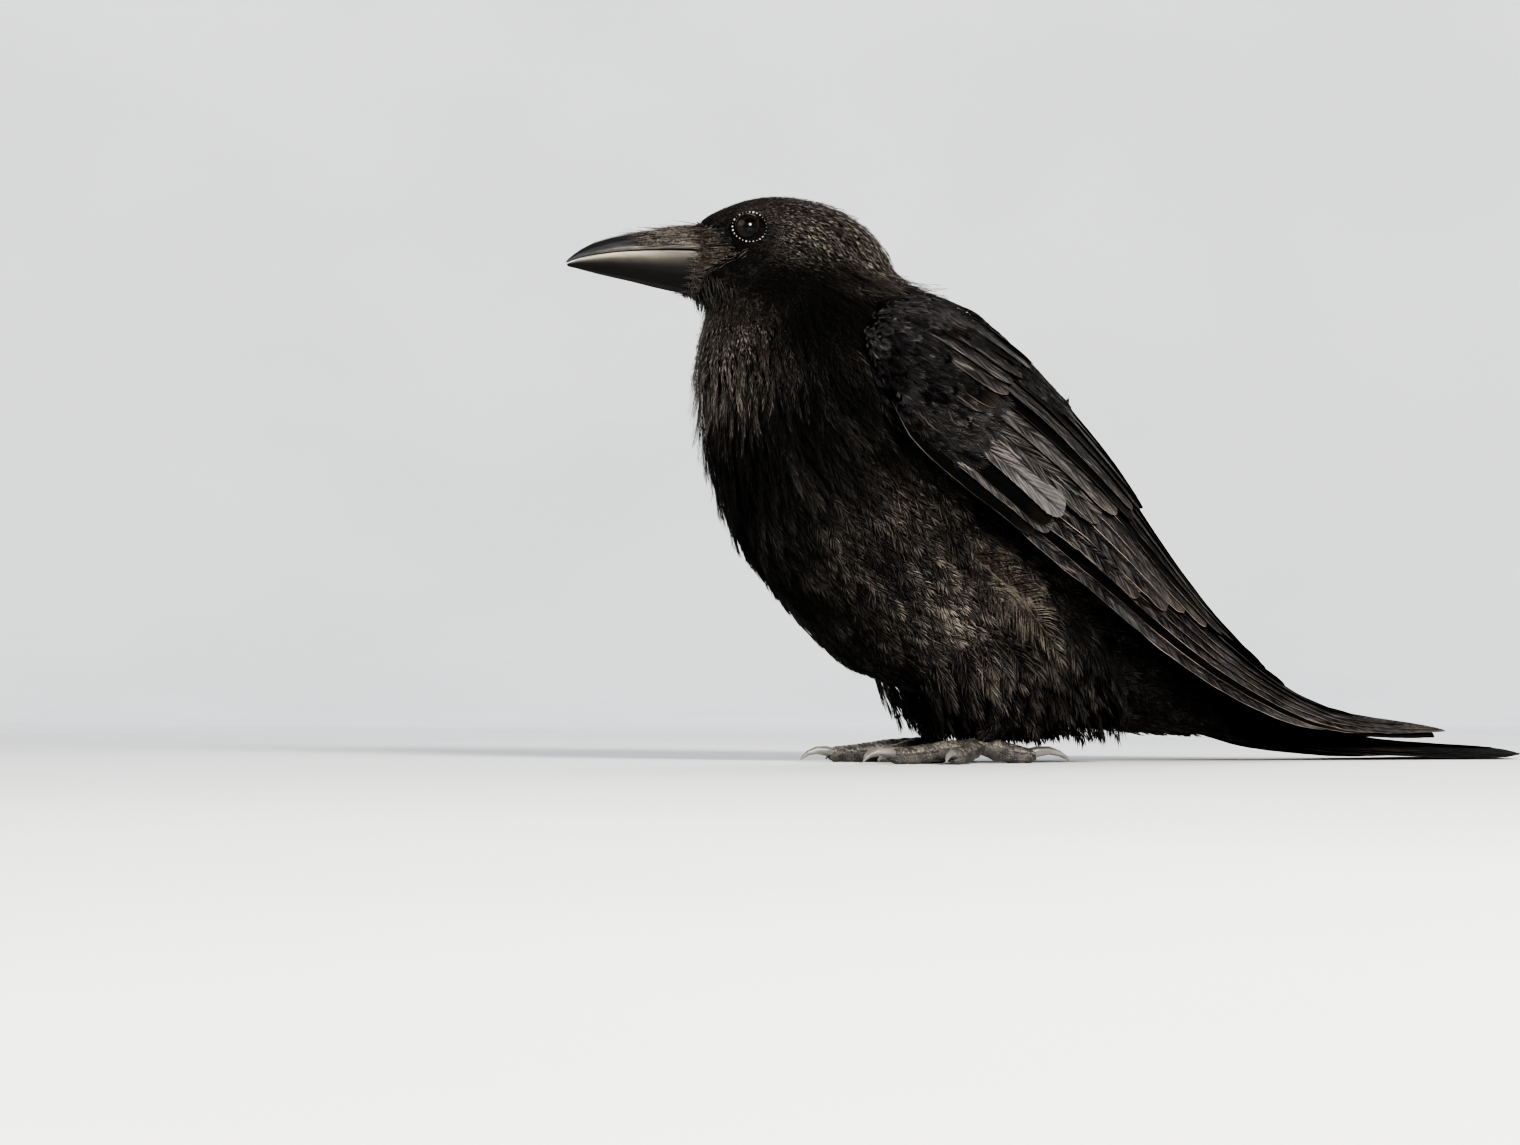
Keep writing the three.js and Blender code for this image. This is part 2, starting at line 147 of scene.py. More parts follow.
def makeFloor(plan):
    # a dish: flat round the bird, then curving up on every side
    flat = plan["flat"][-1]
    profile = [(radius, 0.0) for radius in plan["flat"]]
    for step in range(1, plan["bendSteps"] + 1):
        turn = 0.5 * math.pi * step / plan["bendSteps"]
        profile.append((flat + plan["bend"] * math.sin(turn), plan["bend"] * (1 - math.cos(turn))))
    profile.append((flat + plan["bend"], plan["bend"] + plan["wall"]))
    shape = bmesh.new()
    turns = [2 * math.pi * spoke / plan["spokes"] for spoke in range(plan["spokes"])]
    rings = [
        [shape.verts.new((radius * math.cos(turn), radius * math.sin(turn), height)) for turn in turns]
        for radius, height in profile
    ]
    shape.faces.new(rings[0])
    bridgeRings(shape, rings)
    floor = addObject("studio_floor", smoothMesh("studio_floor", shape))
    floor.data.materials.append(floorPaint(plan))


def feed(tree, node, inputs):
    # links sockets, and sets plain values, on a node's inputs
    for key, value in inputs.items():
        if isinstance(value, bpy.types.NodeSocket):
            tree.links.new(value, node.inputs[key])
        else:
            node.inputs[key].default_value = value


def addNode(tree, kind, inputs=None, **settings):
    node = tree.nodes.new(kind)
    for key, value in settings.items():
        setattr(node, key, value)
    feed(tree, node, inputs or {})
    return node


def sumUp(tree, operation, *values, clamp=False):
    return addNode(tree, "ShaderNodeMath", dict(enumerate(values)), operation=operation,
                   use_clamp=clamp).outputs[0]


def vectorSum(tree, operation, first, second):
    place = 3 if operation == "SCALE" else 1
    return addNode(tree, "ShaderNodeVectorMath", {0: first, place: second}, operation=operation).outputs[0]


def mixColours(tree, factor, first, second):
    first, second = ((*value, 1.0) if isinstance(value, tuple) else value for value in (first, second))
    return addNode(tree, "ShaderNodeMix", {0: factor, 6: first, 7: second}, data_type="RGBA").outputs[2]


def spread(tree, value, low, high, newLow=0.0, newHigh=1.0):
    return addNode(tree, "ShaderNodeMapRange", {0: value, 1: low, 2: high, 3: newLow, 4: newHigh},
                   interpolation_type="SMOOTHSTEP").outputs[0]


def noiseOn(tree, place, scale, detail, roughness=0.5):
    return addNode(tree, "ShaderNodeTexNoise", {"Vector": place, "Scale": scale, "Detail": detail,
                                                "Roughness": roughness}).outputs["Fac"]


def bumpOf(tree, height, strength, distance):
    return addNode(tree, "ShaderNodeBump", {"Height": height, "Strength": strength,
                                            "Distance": distance}).outputs[0]


def objectPlace(tree):
    return addNode(tree, "ShaderNodeTexCoord").outputs["Object"]


def toneParts(tree):
    # the colour channels of the "tone" attribute, and its alpha, which on plumage holds the amount of painted
    # light: painted sheen where high, painted shade where low
    tone = addNode(tree, "ShaderNodeAttribute", attribute_name="tone")
    return addNode(tree, "ShaderNodeSeparateColor", {0: tone.outputs["Color"]}).outputs, tone.outputs["Alpha"]


def newMaterial(name):
    material = bpy.data.materials.new(name)
    material.use_nodes = True
    tree = material.node_tree
    return material, tree, tree.nodes["Principled BSDF"]


def floorPaint(plan):
    material, tree, shader = newMaterial("floor_paint")
    place = objectPlace(tree)
    cloud = noiseOn(tree, place, plan["cloud"], 4.0)
    colour = mixColours(tree, spread(tree, cloud, 0.35, 0.65), *plan["colours"])
    # the rising wall glows a little, so that it stays as pale as the floor
    flat = vectorSum(tree, "MULTIPLY", place, (1.0, 1.0, 0.0))
    far = addNode(tree, "ShaderNodeVectorMath", {0: flat}, operation="LENGTH").outputs["Value"]
    glow = mixColours(tree, spread(tree, far, plan["glowFrom"], plan["glowTo"]), (0.0, 0.0, 0.0), colour)
    feed(tree, shader, {"Base Color": colour, "Roughness": plan["roughness"], "Emission Color": glow,
                        "Emission Strength": plan["glow"]})
    return material


def unit(vectors):
    return vectors / np.maximum(np.linalg.norm(vectors, axis=-1, keepdims=True), 1e-12)


def middleOf(name):
    low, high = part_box(name)
    return np.array((low + high) / 2)


def middleY(name):
    low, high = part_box(name)
    return 0.5 * (low.y + high.y)


def boxPlace(name, alongX, alongZ, y):
    # a place in a node's box, by shares of its length and height
    low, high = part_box(name)
    return low.x + (high.x - low.x) * alongX, y, low.z + (high.z - low.z) * alongZ


def cadCopy(*names):
    joined = bmesh.new()
    for name in names:
        joined.from_mesh(nodes[name].data)
    bmesh.ops.remove_doubles(joined, verts=joined.verts, dist=1e-6)
    return joined


def triangleCorners(*names):
    solid = cadCopy(*names)
    bmesh.ops.triangulate(solid, faces=solid.faces)
    corners = np.array([[vert.co[:] for vert in face.verts] for face in solid.faces])
    solid.free()
    return corners


def cutAt(corners, axis, level):
    # where a plane across the axis cuts the triangles' edges
    gaps = corners @ axis - level
    cut = []
    for a, b in ((0, 1), (1, 2), (2, 0)):
        crossing = gaps[:, a] * gaps[:, b] < 0
        part = (gaps[crossing, a] / (gaps[crossing, a] - gaps[crossing, b]))[:, None]
        cut.append(corners[crossing, a] * (1 - part) + corners[crossing, b] * part)
    return np.concatenate(cut)


def roundedCopy(names, voxel, rounds):
    # an even mesh wrapped round a copy of CAD nodes, its facets smoothed away
    joined = cadCopy(*names)
    mesh = bpy.data.meshes.new("work")
    joined.to_mesh(mesh)
    joined.free()
    work = addObject("work", mesh)
    wrap = work.modifiers.new("wrap", "REMESH")
    wrap.mode = "VOXEL"
    wrap.voxel_size = voxel
    ease = work.modifiers.new("ease", "SMOOTH")
    ease.factor = 0.5
    ease.iterations = rounds
    made = bpy.data.meshes.new_from_object(work.evaluated_get(bpy.context.evaluated_depsgraph_get()))
    bpy.data.objects.remove(work)
    made.shade_smooth()
    return made


def arraysOf(mesh):
    mesh.calc_loop_triangles()
    points = np.empty(len(mesh.vertices) * 3, np.float32)
    mesh.vertices.foreach_get("co", points)
    normals = np.empty(len(mesh.vertices) * 3, np.float32)
    mesh.vertex_normals.foreach_get("vector", normals)
    triangles = np.empty(len(mesh.loop_triangles) * 3, np.int32)
    mesh.loop_triangles.foreach_get("vertices", triangles)
    return points.reshape(-1, 3).astype(float), triangles.reshape(-1, 3), normals.reshape(-1, 3).astype(float)


def setPoints(mesh, points):
    mesh.vertices.foreach_set("co", np.asarray(points, np.float32).ravel())


def addLayer(mesh, name, kind, key, values):
    layer = mesh.attributes.new(name, kind, "POINT")
    layer.data.foreach_set(key, np.asarray(values, np.float32).ravel())


def arrayMesh(name, points, triangles, maps=None, tones=None, smooth=True):
    mesh = bpy.data.meshes.new(name)
    mesh.vertices.add(len(points))
    setPoints(mesh, points)
    corners = np.asarray(triangles, np.int32).ravel()
    mesh.loops.add(len(corners))
    mesh.loops.foreach_set("vertex_index", corners)
    mesh.polygons.add(len(triangles))
    mesh.polygons.foreach_set("loop_start", np.arange(0, len(corners), 3, dtype=np.int32))
    mesh.update(calc_edges=True)
    for key, values in (maps or {}).items():
        layer = mesh.uv_layers.new(name=key)
        layer.uv.foreach_set("vector", np.asarray(values, np.float32)[corners].ravel())
    if tones is not None:
        addLayer(mesh, "tone", "FLOAT_COLOR", "color", tones)
    if smooth:
        mesh.shade_smooth()
    else:
        mesh.shade_flat()
    return mesh


def addPiece(name, mesh, material, replaced=()):
    mesh.name = name
    piece = addObject(name, mesh)
    mesh.materials.clear()
    mesh.materials.append(material)
    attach(piece, "root")
    if replaced:
        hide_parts(*replaced)


def surfaceOf(points, triangles, normals):
    tree = BVHTree.FromPolygons(points.tolist(), triangles.tolist())
    return {"tree": tree, "points": points, "triangles": triangles, "normals": normals}


def nearestOn(surface, places):
    spots = np.empty((len(places), 3))
    faces = np.empty(len(places), int)
    find = surface["tree"].find_nearest
    for index, place in enumerate(places.tolist()):
        spots[index], _, faces[index], _ = find(place)
    return spots, unit(surface["normals"][surface["triangles"][faces]].sum(axis=1))


# the line that the plumage follows, from bill to tail
spine = np.array([
    boxPlace("head", 0.0, 0.55, middleY("bill_upper") * 0.8),
    boxPlace("head", 0.62, 0.52, 0.0),
    boxPlace("trunk", 0.215, 0.91, 0.0),
    boxPlace("trunk", 0.275, 0.80, 0.0),
    boxPlace("trunk", 0.44, 0.51, 0.0),
    boxPlace("trunk", 0.555, 0.355, 0.0),
    boxPlace("trunk", 0.717, 0.218, 0.0),
    boxPlace("trunk", 1.02, 0.037, 0.0),
    boxPlace("tail", 0.60, 0.10, 0.0),
])
spineSteps = np.linalg.norm(np.diff(spine, axis=0), axis=1)
spineMarks = np.concatenate(([0.0], np.cumsum(spineSteps)))
flowBlend = 0.006  # metres over which the spine's directions run into each other
bakeSpread = 0.94  # the share of the baked map's width that the coat takes


def alongSpine(places):
    # distance along the line, angle round it (0 on the back, negative on the left) and its direction
    best = np.full(len(places), np.inf)
    along = np.zeros(len(places))
    angle = np.zeros(len(places))
    flow = np.zeros((len(places), 3))
    for index, (start, step) in enumerate(zip(spine, spineSteps)):
        heading = (spine[index + 1] - start) / step
        share = np.clip((places - start) @ heading / step, 0.0, 1.0)
        offset = places - (start + np.outer(share * step, heading))
        gap = np.linalg.norm(offset, axis=1)
        flow += heading / ((gap[:, None] + flowBlend) ** 5)
        upward = unit(np.array((-heading[2], 0.0, heading[0])))
        near = gap < best
        best[near] = gap[near]
        along[near] = spineMarks[index] + share[near] * step
        angle[near] = np.arctan2(offset[near, 1], offset[near] @ upward)
    return along, angle, unit(flow)


def bakePlace(along, angle):
    return np.stack((0.03 + bakeSpread * (angle / (2 * math.pi) + 0.5), 0.02 + 0.95 * along / spineMarks[-1]),
                    axis=-1)


skinPlan = {
    "voxel": 1.5 * mm,
    "walkVoxel": 2.1 * mm,
    "rounds": 14,
    "flesh": ("trunk", "neck", "head", "thigh_left", "thigh_right"),
    "filling": ("eye_left", "eye_right", "lid_left", "lid_right"),  # closes the sockets behind the lids
    "marks": (0.0, 0.010, 0.03, 0.06, 0.10, 0.16, 0.30),  # metres along the spine
    "depths": (0.25 * mm, 0.7 * mm, 1.2 * mm, 2.0 * mm, 2.8 * mm, 3.2 * mm, 2.6 * mm),  # coat depth there
}


def coatDepth(along):
    return np.interp(along, skinPlan["marks"], skinPlan["depths"])


def walkSurface(plan):
    # the skin drawn on over the tail, for feathers that reach past the end of the body
    names = (*plan["flesh"], *plan["filling"], "tail")
    points, triangles, normals = arraysOf(roundedCopy(names, plan["walkVoxel"], plan["rounds"]))
    return surfaceOf(points - normals * coatDepth(alongSpine(points)[0])[:, None], triangles, normals)


def makeSkin(plan, material):
    mesh = roundedCopy((*plan["flesh"], *plan["filling"]), plan["voxel"], plan["rounds"])
    points, triangles, normals = arraysOf(mesh)
    along, angle, _ = alongSpine(points)
    points = points - normals * coatDepth(along)[:, None]
    skinMap = bakePlace(along, angle)
    mesh = arrayMesh("skin", points, triangles, {"OFBake": skinMap})
    unwrapped = skinMap[triangles.ravel()].reshape(-1, 3, 2)
    wraps = np.ptp(unwrapped[:, :, 0], axis=1) > 0.5  # triangles across the belly line
    unwrapped[..., 0] += np.where(wraps[:, None] & (unwrapped[..., 0] < 0.5), bakeSpread, 0.0)
    mesh.uv_layers["OFBake"].uv.foreach_set("vector", unwrapped.astype(np.float32).ravel())
    addPiece("skin", mesh, material, plan["flesh"])
    print("crow: skin", len(mesh.polygons), "triangles")
    return surfaceOf(points, triangles, arraysOf(mesh)[2])


vaneScale = 50.0  # units of the vane map in a metre
patchSize = 0.0015  # a feather's own patch on the baked map
floorGap = 0.15 * mm  # no feather lies lower


def readAt(values, place):
    # rows of values, one for each step, read at places between the steps
    lower = np.minimum(place.astype(int), values.shape[-2] - 2)
    share = (place - lower)[..., None]
    return values[..., lower, :] * (1 - share) + values[..., lower + 1, :] * share


def looseVane(barbs, coarse, point, sweep, aspect, low=0.50, wide=0.03, shaft=(0.035, 0.3, 1.8)):
    # a soft feather of separate closed barbs, each ridged along its middle and pointed, on a fine shaft;
    # aspect is the feather's length over its half width, low where along it the fine barbs begin to end
    spots, faces = [], []

    def half(v):
        rest = max(0.0, (v - 0.45) / 0.55)
        return min(1.0, 0.45 + 1.4 * v) * (1.0 - rest ** point) ** 0.6

    def addBarb(root, tip, wide, share, ridge, number, margins=(0.0, 0.4, 1.0, 0.3)):
        first = len(spots)
        forward, outward = (tip[1] - root[1]) * aspect, tip[0] - root[0]
        size = math.hypot(forward, outward)
        aside = (-forward / size * wide, outward / size * wide / aspect)
        # the middle bows outwards, as a barb leaves its shaft steeply and then bends along it
        middle = (root[0] + outward * min(1.0, share * 1.22), root[1] + (tip[1] - root[1]) * share)
        spots.extend([
            (*root, 0.0, margins[0], 0.0, number),
            (middle[0] + aside[0], middle[1] + aside[1], 0.0, margins[1], 0.45, number),
            (middle[0] - aside[0], middle[1] - aside[1], 0.0, margins[1], 0.45, number),
            (*tip, -0.2, margins[2], 1.0, number),
            (*middle, ridge, margins[3], 0.45, number),
        ])
        for face in ((0, 1, 4), (0, 4, 2), (1, 3, 4), (4, 3, 2), (0, 2, 1), (1, 2, 3)):
            faces.append(tuple(first + corner for corner in face))

    addBarb((0.0, 0.0), (0.0, 0.97), *shaft, 0, (-1.0, -1.0, -1.0, -1.0))
    number = 1
    for side in (-1.0, 1.0):
        for v in np.linspace(0.02, 0.24, coarse):
            addBarb((0.0, v), (side * (half(v + 0.2) + 0.02), v + 0.2), 0.30, 0.55, 1.0, number)
            number += 1
        for share in np.linspace(0.0, 1.0, barbs):
            reach = low + (0.985 - low) * share ** 0.85
            root = max(0.04, reach - sweep * (1.0 - 0.3 * share))
            addBarb((0.0, root), (side * (half(reach) + 0.02), reach), 0.56 / barbs + wide, 0.55, 1.0, number)
            number += 1
    addBarb((0.0, 0.74), (0.0, 1.0), min(0.10, 4.0 * wide), 0.5, 1.0, number)
    return {"spots": np.array(spots), "faces": np.array(faces), "barbs": number + 1}


def growVanes(shape, lines, ups, halfWidths, lengths, lifts, plan, rng, bake, paintedLight):
    # one vane along each line of points: lines and ups are (feather, step, 3)
    across, along, height, margin, freedom, barb = shape["spots"].T
    count, steps = lines.shape[:2]
    place = along * (steps - 1)
    up = unit(readAt(ups, place))
    ahead = unit(readAt(unit(np.gradient(lines, axis=1)), place))
    outward = np.cross(up, ahead)
    wide = halfWidths[:, None] * across[None, :]
    rise = lifts[:, None] * (plan["lowStart"] + (1 - plan["lowStart"]) * along[None, :] ** plan["curve"])
    rise = rise + plan["thick"] * height[None, :] * np.minimum(halfWidths[:, None] / (4 * mm), 1.0)
    rise = rise - wide ** 2 / (2 * plan["roundness"])
    # each barb strays a little from its place
    stray = rng.normal(0, 1, (count, shape["barbs"], 3))[:, barb.astype(int)] * freedom[None, :, None]
    rise = rise + stray[..., 0] * plan["ruffle"] * np.minimum(lengths[:, None] / (12 * mm), 1.2)
    wide = wide + stray[..., 1] * plan["fray"] * halfWidths[:, None]
    forward = stray[..., 2] * 0.4 * plan["fray"] * lengths[:, None]
    points = readAt(lines, place) + outward * wide[..., None] + up * rise[..., None]
    points = points + ahead * forward[..., None]
    chance = rng.random((count, 2))
    tones = np.empty((count, len(across), 4))
    tones[..., 0] = chance[:, :1]
    tones[..., 1] = margin[None, :]
    tones[..., 2] = along[None, :]
    # alpha: the feather's amount of painted light, spread at random from feather to feather
    tones[..., 3] = (paintedLight * (0.3 + 1.4 * chance[:, 1]))[:, None]
    vane = np.stack((wide, lengths[:, None] * along[None, :]), axis=-1) * vaneScale
    patch = np.stack((across, along), axis=-1)[None] * patchSize
    faces = shape["faces"][None] + (np.arange(count) * len(across))[:, None, None]
    return {
        "points": points.reshape(-1, 3),
        "triangles": faces.reshape(-1, 3),
        "tones": tones.reshape(-1, 4),
        "vane": vane.reshape(-1, 2),
        "bake": (bake[:, None, :] + patch).reshape(-1, 2),
    }


def coatPiece(name, parts, material, replaced=(), smooth=False):
    keys = ("points", "tones", "vane", "bake")
    joined = {key: np.concatenate([part[key] for part in parts]) for key in keys}
    shift = np.cumsum([0] + [len(part["points"]) for part in parts[:-1]])
    triangles = np.concatenate([part["triangles"] + step for part, step in zip(parts, shift)])
    points = joined["points"]
    points[:, 2] = np.maximum(points[:, 2], floorGap)
    maps = {"OFBake": joined["bake"], "vane": joined["vane"]}
    mesh = arrayMesh(name, points, triangles, maps, joined["tones"], smooth)
    print("crow:", name, len(triangles), "triangles")
    addPiece(name, mesh, material, replaced)


coatPlan = {
    "marks": (0.0, 0.02, 0.04, 0.06, 0.085, 0.125, 0.185, 0.25, 0.32),  # metres along the spine
    "length": (2.8, 4.4, 8.4, 11.5, 15.0, 18.0, 20.0, 23.0, 26.0),  # mm
    "halfWidth": (0.50, 0.66, 0.88, 1.35, 2.6, 3.9, 4.8, 5.4, 6.0),
    "spacing": (0.70, 0.86, 1.18, 1.5, 2.0, 2.5, 2.9, 3.3, 3.7),
    "lengthRange": (0.85, 1.18), "widthRange": (0.88, 1.12), "liftRange": (0.75, 1.15),
    "steps": 5,
    "scatter": 0.16,  # how far a feather may turn from the lie
    "covered": 0.022, "touching": 0.003,  # metres; none grow where a wing lies over them between the two
    "throatSlim": 0.56, "throatRagged": 2.0, "napeTuft": 3.0,  # how much narrower, and how much more raised
    "chinLength": 5.5 * mm, "chinLift": 4.5 * mm,
    "eyeVelvet": (5.0 * mm, 9.0 * mm),  # radius of the shortest feathers round an eye, and over what they grow
    "pieceLimit": 190000,  # triangles
    "seed": 11,
}
coatFinish = {"lowStart": 0.25, "curve": 1.3, "thick": 0.24 * mm, "roundness": 32 * mm, "ruffle": 0.30 * mm,
              "fray": 0.09}
coatParts = {
    # name: from, to along the spine, fine and coarse barbs a side, tip roundness, sweep
    "coat_face": (-0.001, 0.022, 1, 1, 1.5, 0.30),
    "coat_crown": (0.022, 0.048, 2, 1, 1.5, 0.34),
    "coat_nape": (0.048, 0.080, 4, 1, 1.6, 0.36),
    "coat_breast": (0.080, 0.128, 8, 1, 1.9, 0.36),
    "coat_body": (0.128, 0.190, 10, 1, 2.1, 0.34),
    "coat_rump": (0.190, 0.330, 10, 1, 2.1, 0.34),
}
legPull = {"weight": 1.8, "reach": 11 * mm, "share": 0.35}  # how the lie bends down into the trousers
# humps of painted light on the coat: throat, cheek and flank add painted sheen; velvet and breast take it away
# as painted shade
paintedLightPlan = {
    # strength, then middle and width behind the neck's front and above its foot, mm
    "throat": (3.6, 3, 12, 17, 15),
    # painted shade on the side of the neck, under the head
    "velvetShade": (0.95, 36, 27, 31, 19),
    "breast": (0.7, 18, 24, -10, 19),
    # strength, then middle and width along the spine in metres and round it in radians
    "cheek": (1.6, 0.042, 0.019, 1.0, 0.55),
    "flank": (0.95, 0.165, 0.034, 2.15, 0.55),
}


def evenly(value):
    # the same value at all places
    return lambda places: np.array([value] * len(places))


def scatterRoots(surface, spacingAt, keep, rng):
    # roots over the skin, never closer than the spacing there
    corners = surface["points"][surface["triangles"]]
    centres = corners.mean(axis=1)
    use = keep(centres)
    corners = corners[use]
    spacing = spacingAt(centres[use])
    edges = corners[:, 1:] - corners[:, :1]
    areas = 0.5 * np.linalg.norm(np.cross(edges[:, 0], edges[:, 1]), axis=1)
    wanted = areas / spacing ** 2
    total = int(wanted.sum() * 3.2)
    picked = rng.choice(len(corners), total, p=wanted / wanted.sum())
    a, b = rng.random(total), rng.random(total)
    flip = a + b > 1
    a[flip], b[flip] = 1 - a[flip], 1 - b[flip]
    first, second, third = corners[picked].swapaxes(0, 1)
    spots = first * (1 - a - b)[:, None] + second * a[:, None] + third * b[:, None]
    kept = []
    taken = {}
    for index, (spot, gap) in enumerate(zip(spots.tolist(), spacing[picked].tolist())):
        # roots with like gaps share a grid of cells, a little wider than the gap
        level = round(math.log2(gap * 1000) * 2)
        cell = 0.001 * 2 ** (level / 2)
        x, y, z = (math.floor(value / cell) for value in spot)
        around = (
            other
            for i in (x - 1, x, x + 1)
            for j in (y - 1, y, y + 1)
            for k in (z - 1, z, z + 1)
            for other in taken.get((level, i, j, k), ())
        )
        if all(math.dist(other, spot) >= gap for other in around):
            taken.setdefault((level, x, y, z), []).append(spot)
            kept.append(index)
    return spots[kept]


def swirl(places, scale):
    # a slow sideways turn of the lie, so that neighbours turn together
    x, y, z = (places / scale).T
    return np.sin(x * 1.3 + 2.1 * np.sin(y)) * np.cos(z * 1.7 + x) + 0.5 * np.sin(2.9 * y + 2.3 * z)


def layLines(surface, roots, lengths, steps, turns, flowAt):
    # walks each feather over the surface along the lie of the coat
    spot, up = nearestOn(surface, roots)
    lines, ups = [spot], [up]
    for _ in range(steps - 1):
        heading = flowAt(spot)
        heading = unit(heading - up * (heading * up).sum(axis=1, keepdims=True))
        heading = unit(heading + np.cross(up, heading) * turns[:, None])
        ahead = spot + heading * (lengths / (steps - 1))[:, None]
        hit, hitUp = nearestOn(surface, ahead)
        # past the end of the surface a feather goes straight on
        lost = np.linalg.norm(hit - spot, axis=1) < 0.55 * lengths / (steps - 1)
        spot = np.where(lost[:, None], ahead, hit)
        up = np.where(lost[:, None], up, unit(0.35 * up + 0.65 * hitUp))
        lines.append(spot)
        ups.append(up)
    return np.stack(lines, axis=1), np.stack(ups, axis=1)


def shankEnds(name):
    low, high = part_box("tarsus_" + name)
    middle = middleY("tarsus_" + name)
    return np.array((high.x, middle, high.z)), np.array((low.x, middle, low.z))


def throatShare(places):
    # 1 on the front of the throat, where the hackles hang, and 0 elsewhere
    low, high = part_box("neck")
    x, z = places[:, 0], places[:, 2]
    below = np.clip((high.z - 13 * mm - z) / (10 * mm), 0, 1)
    above = np.clip((z - low.z + 10 * mm) / (20 * mm), 0, 1)
    return below * above * np.clip((low.x + 34 * mm - x) / (15 * mm), 0, 1)


def coatAlong(places):
    # how far back a place counts for the size of its feathers: those of the throat grow long
    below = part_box("neck")[1].z - 15 * mm - places[:, 2]
    return np.maximum(alongSpine(places)[0], np.clip(2.2 * below, 0.0, 0.075))


def coatFlow(places):
    flow = alongSpine(places)[2]
    flow = unit(flow + 1.6 * throatShare(places)[:, None] * np.array((-0.12, 0.0, -1.0)))
    for name in sides:
        top, foot = shankEnds(name)
        gap = np.linalg.norm(places - (top + (foot - top) * legPull["share"]), axis=1)
        pull = legPull["weight"] * np.exp(-(gap / legPull["reach"]) ** 2)
        flow = flow + pull[:, None] * unit(foot - top)
    return unit(flow)


def humpAt(name, first, second, starts=(0.0, 0.0), scale=1.0):
    strength, middle, wide, otherMiddle, otherWide = paintedLightPlan[name]
    rise = strength * np.exp(-((first - (starts[0] + middle * scale)) / (wide * scale)) ** 2)
    return rise * np.exp(-((second - (starts[1] + otherMiddle * scale)) / (otherWide * scale)) ** 2)


def paintedLightAt(along, angle, places):
    # painted light and shade on the coat: painted brown-grey sheen on throat hackles, ear coverts and nape,
    # belly and flanks, less of it on the breast, and painted near-black shade on the side of the neck
    low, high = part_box("neck")
    x, z = places[:, 0], places[:, 2]
    throat, velvetShade, breast = (
        humpAt(name, x, z, (low.x, low.z), mm) for name in ("throat", "velvetShade", "breast")
    )
    cheek, flank = (humpAt(name, along, np.abs(angle)) for name in ("cheek", "flank"))
    throat = throat * (z < high.z - 17 * mm)
    patches = np.clip(0.62 + 0.5 * swirl(places, 0.011), 0.0, 1.2)
    general = 0.06 + 0.30 * patches * (1 - breast)
    return (general + (throat + cheek + flank) * (0.5 + 0.5 * patches)) * (1 - velvetShade)


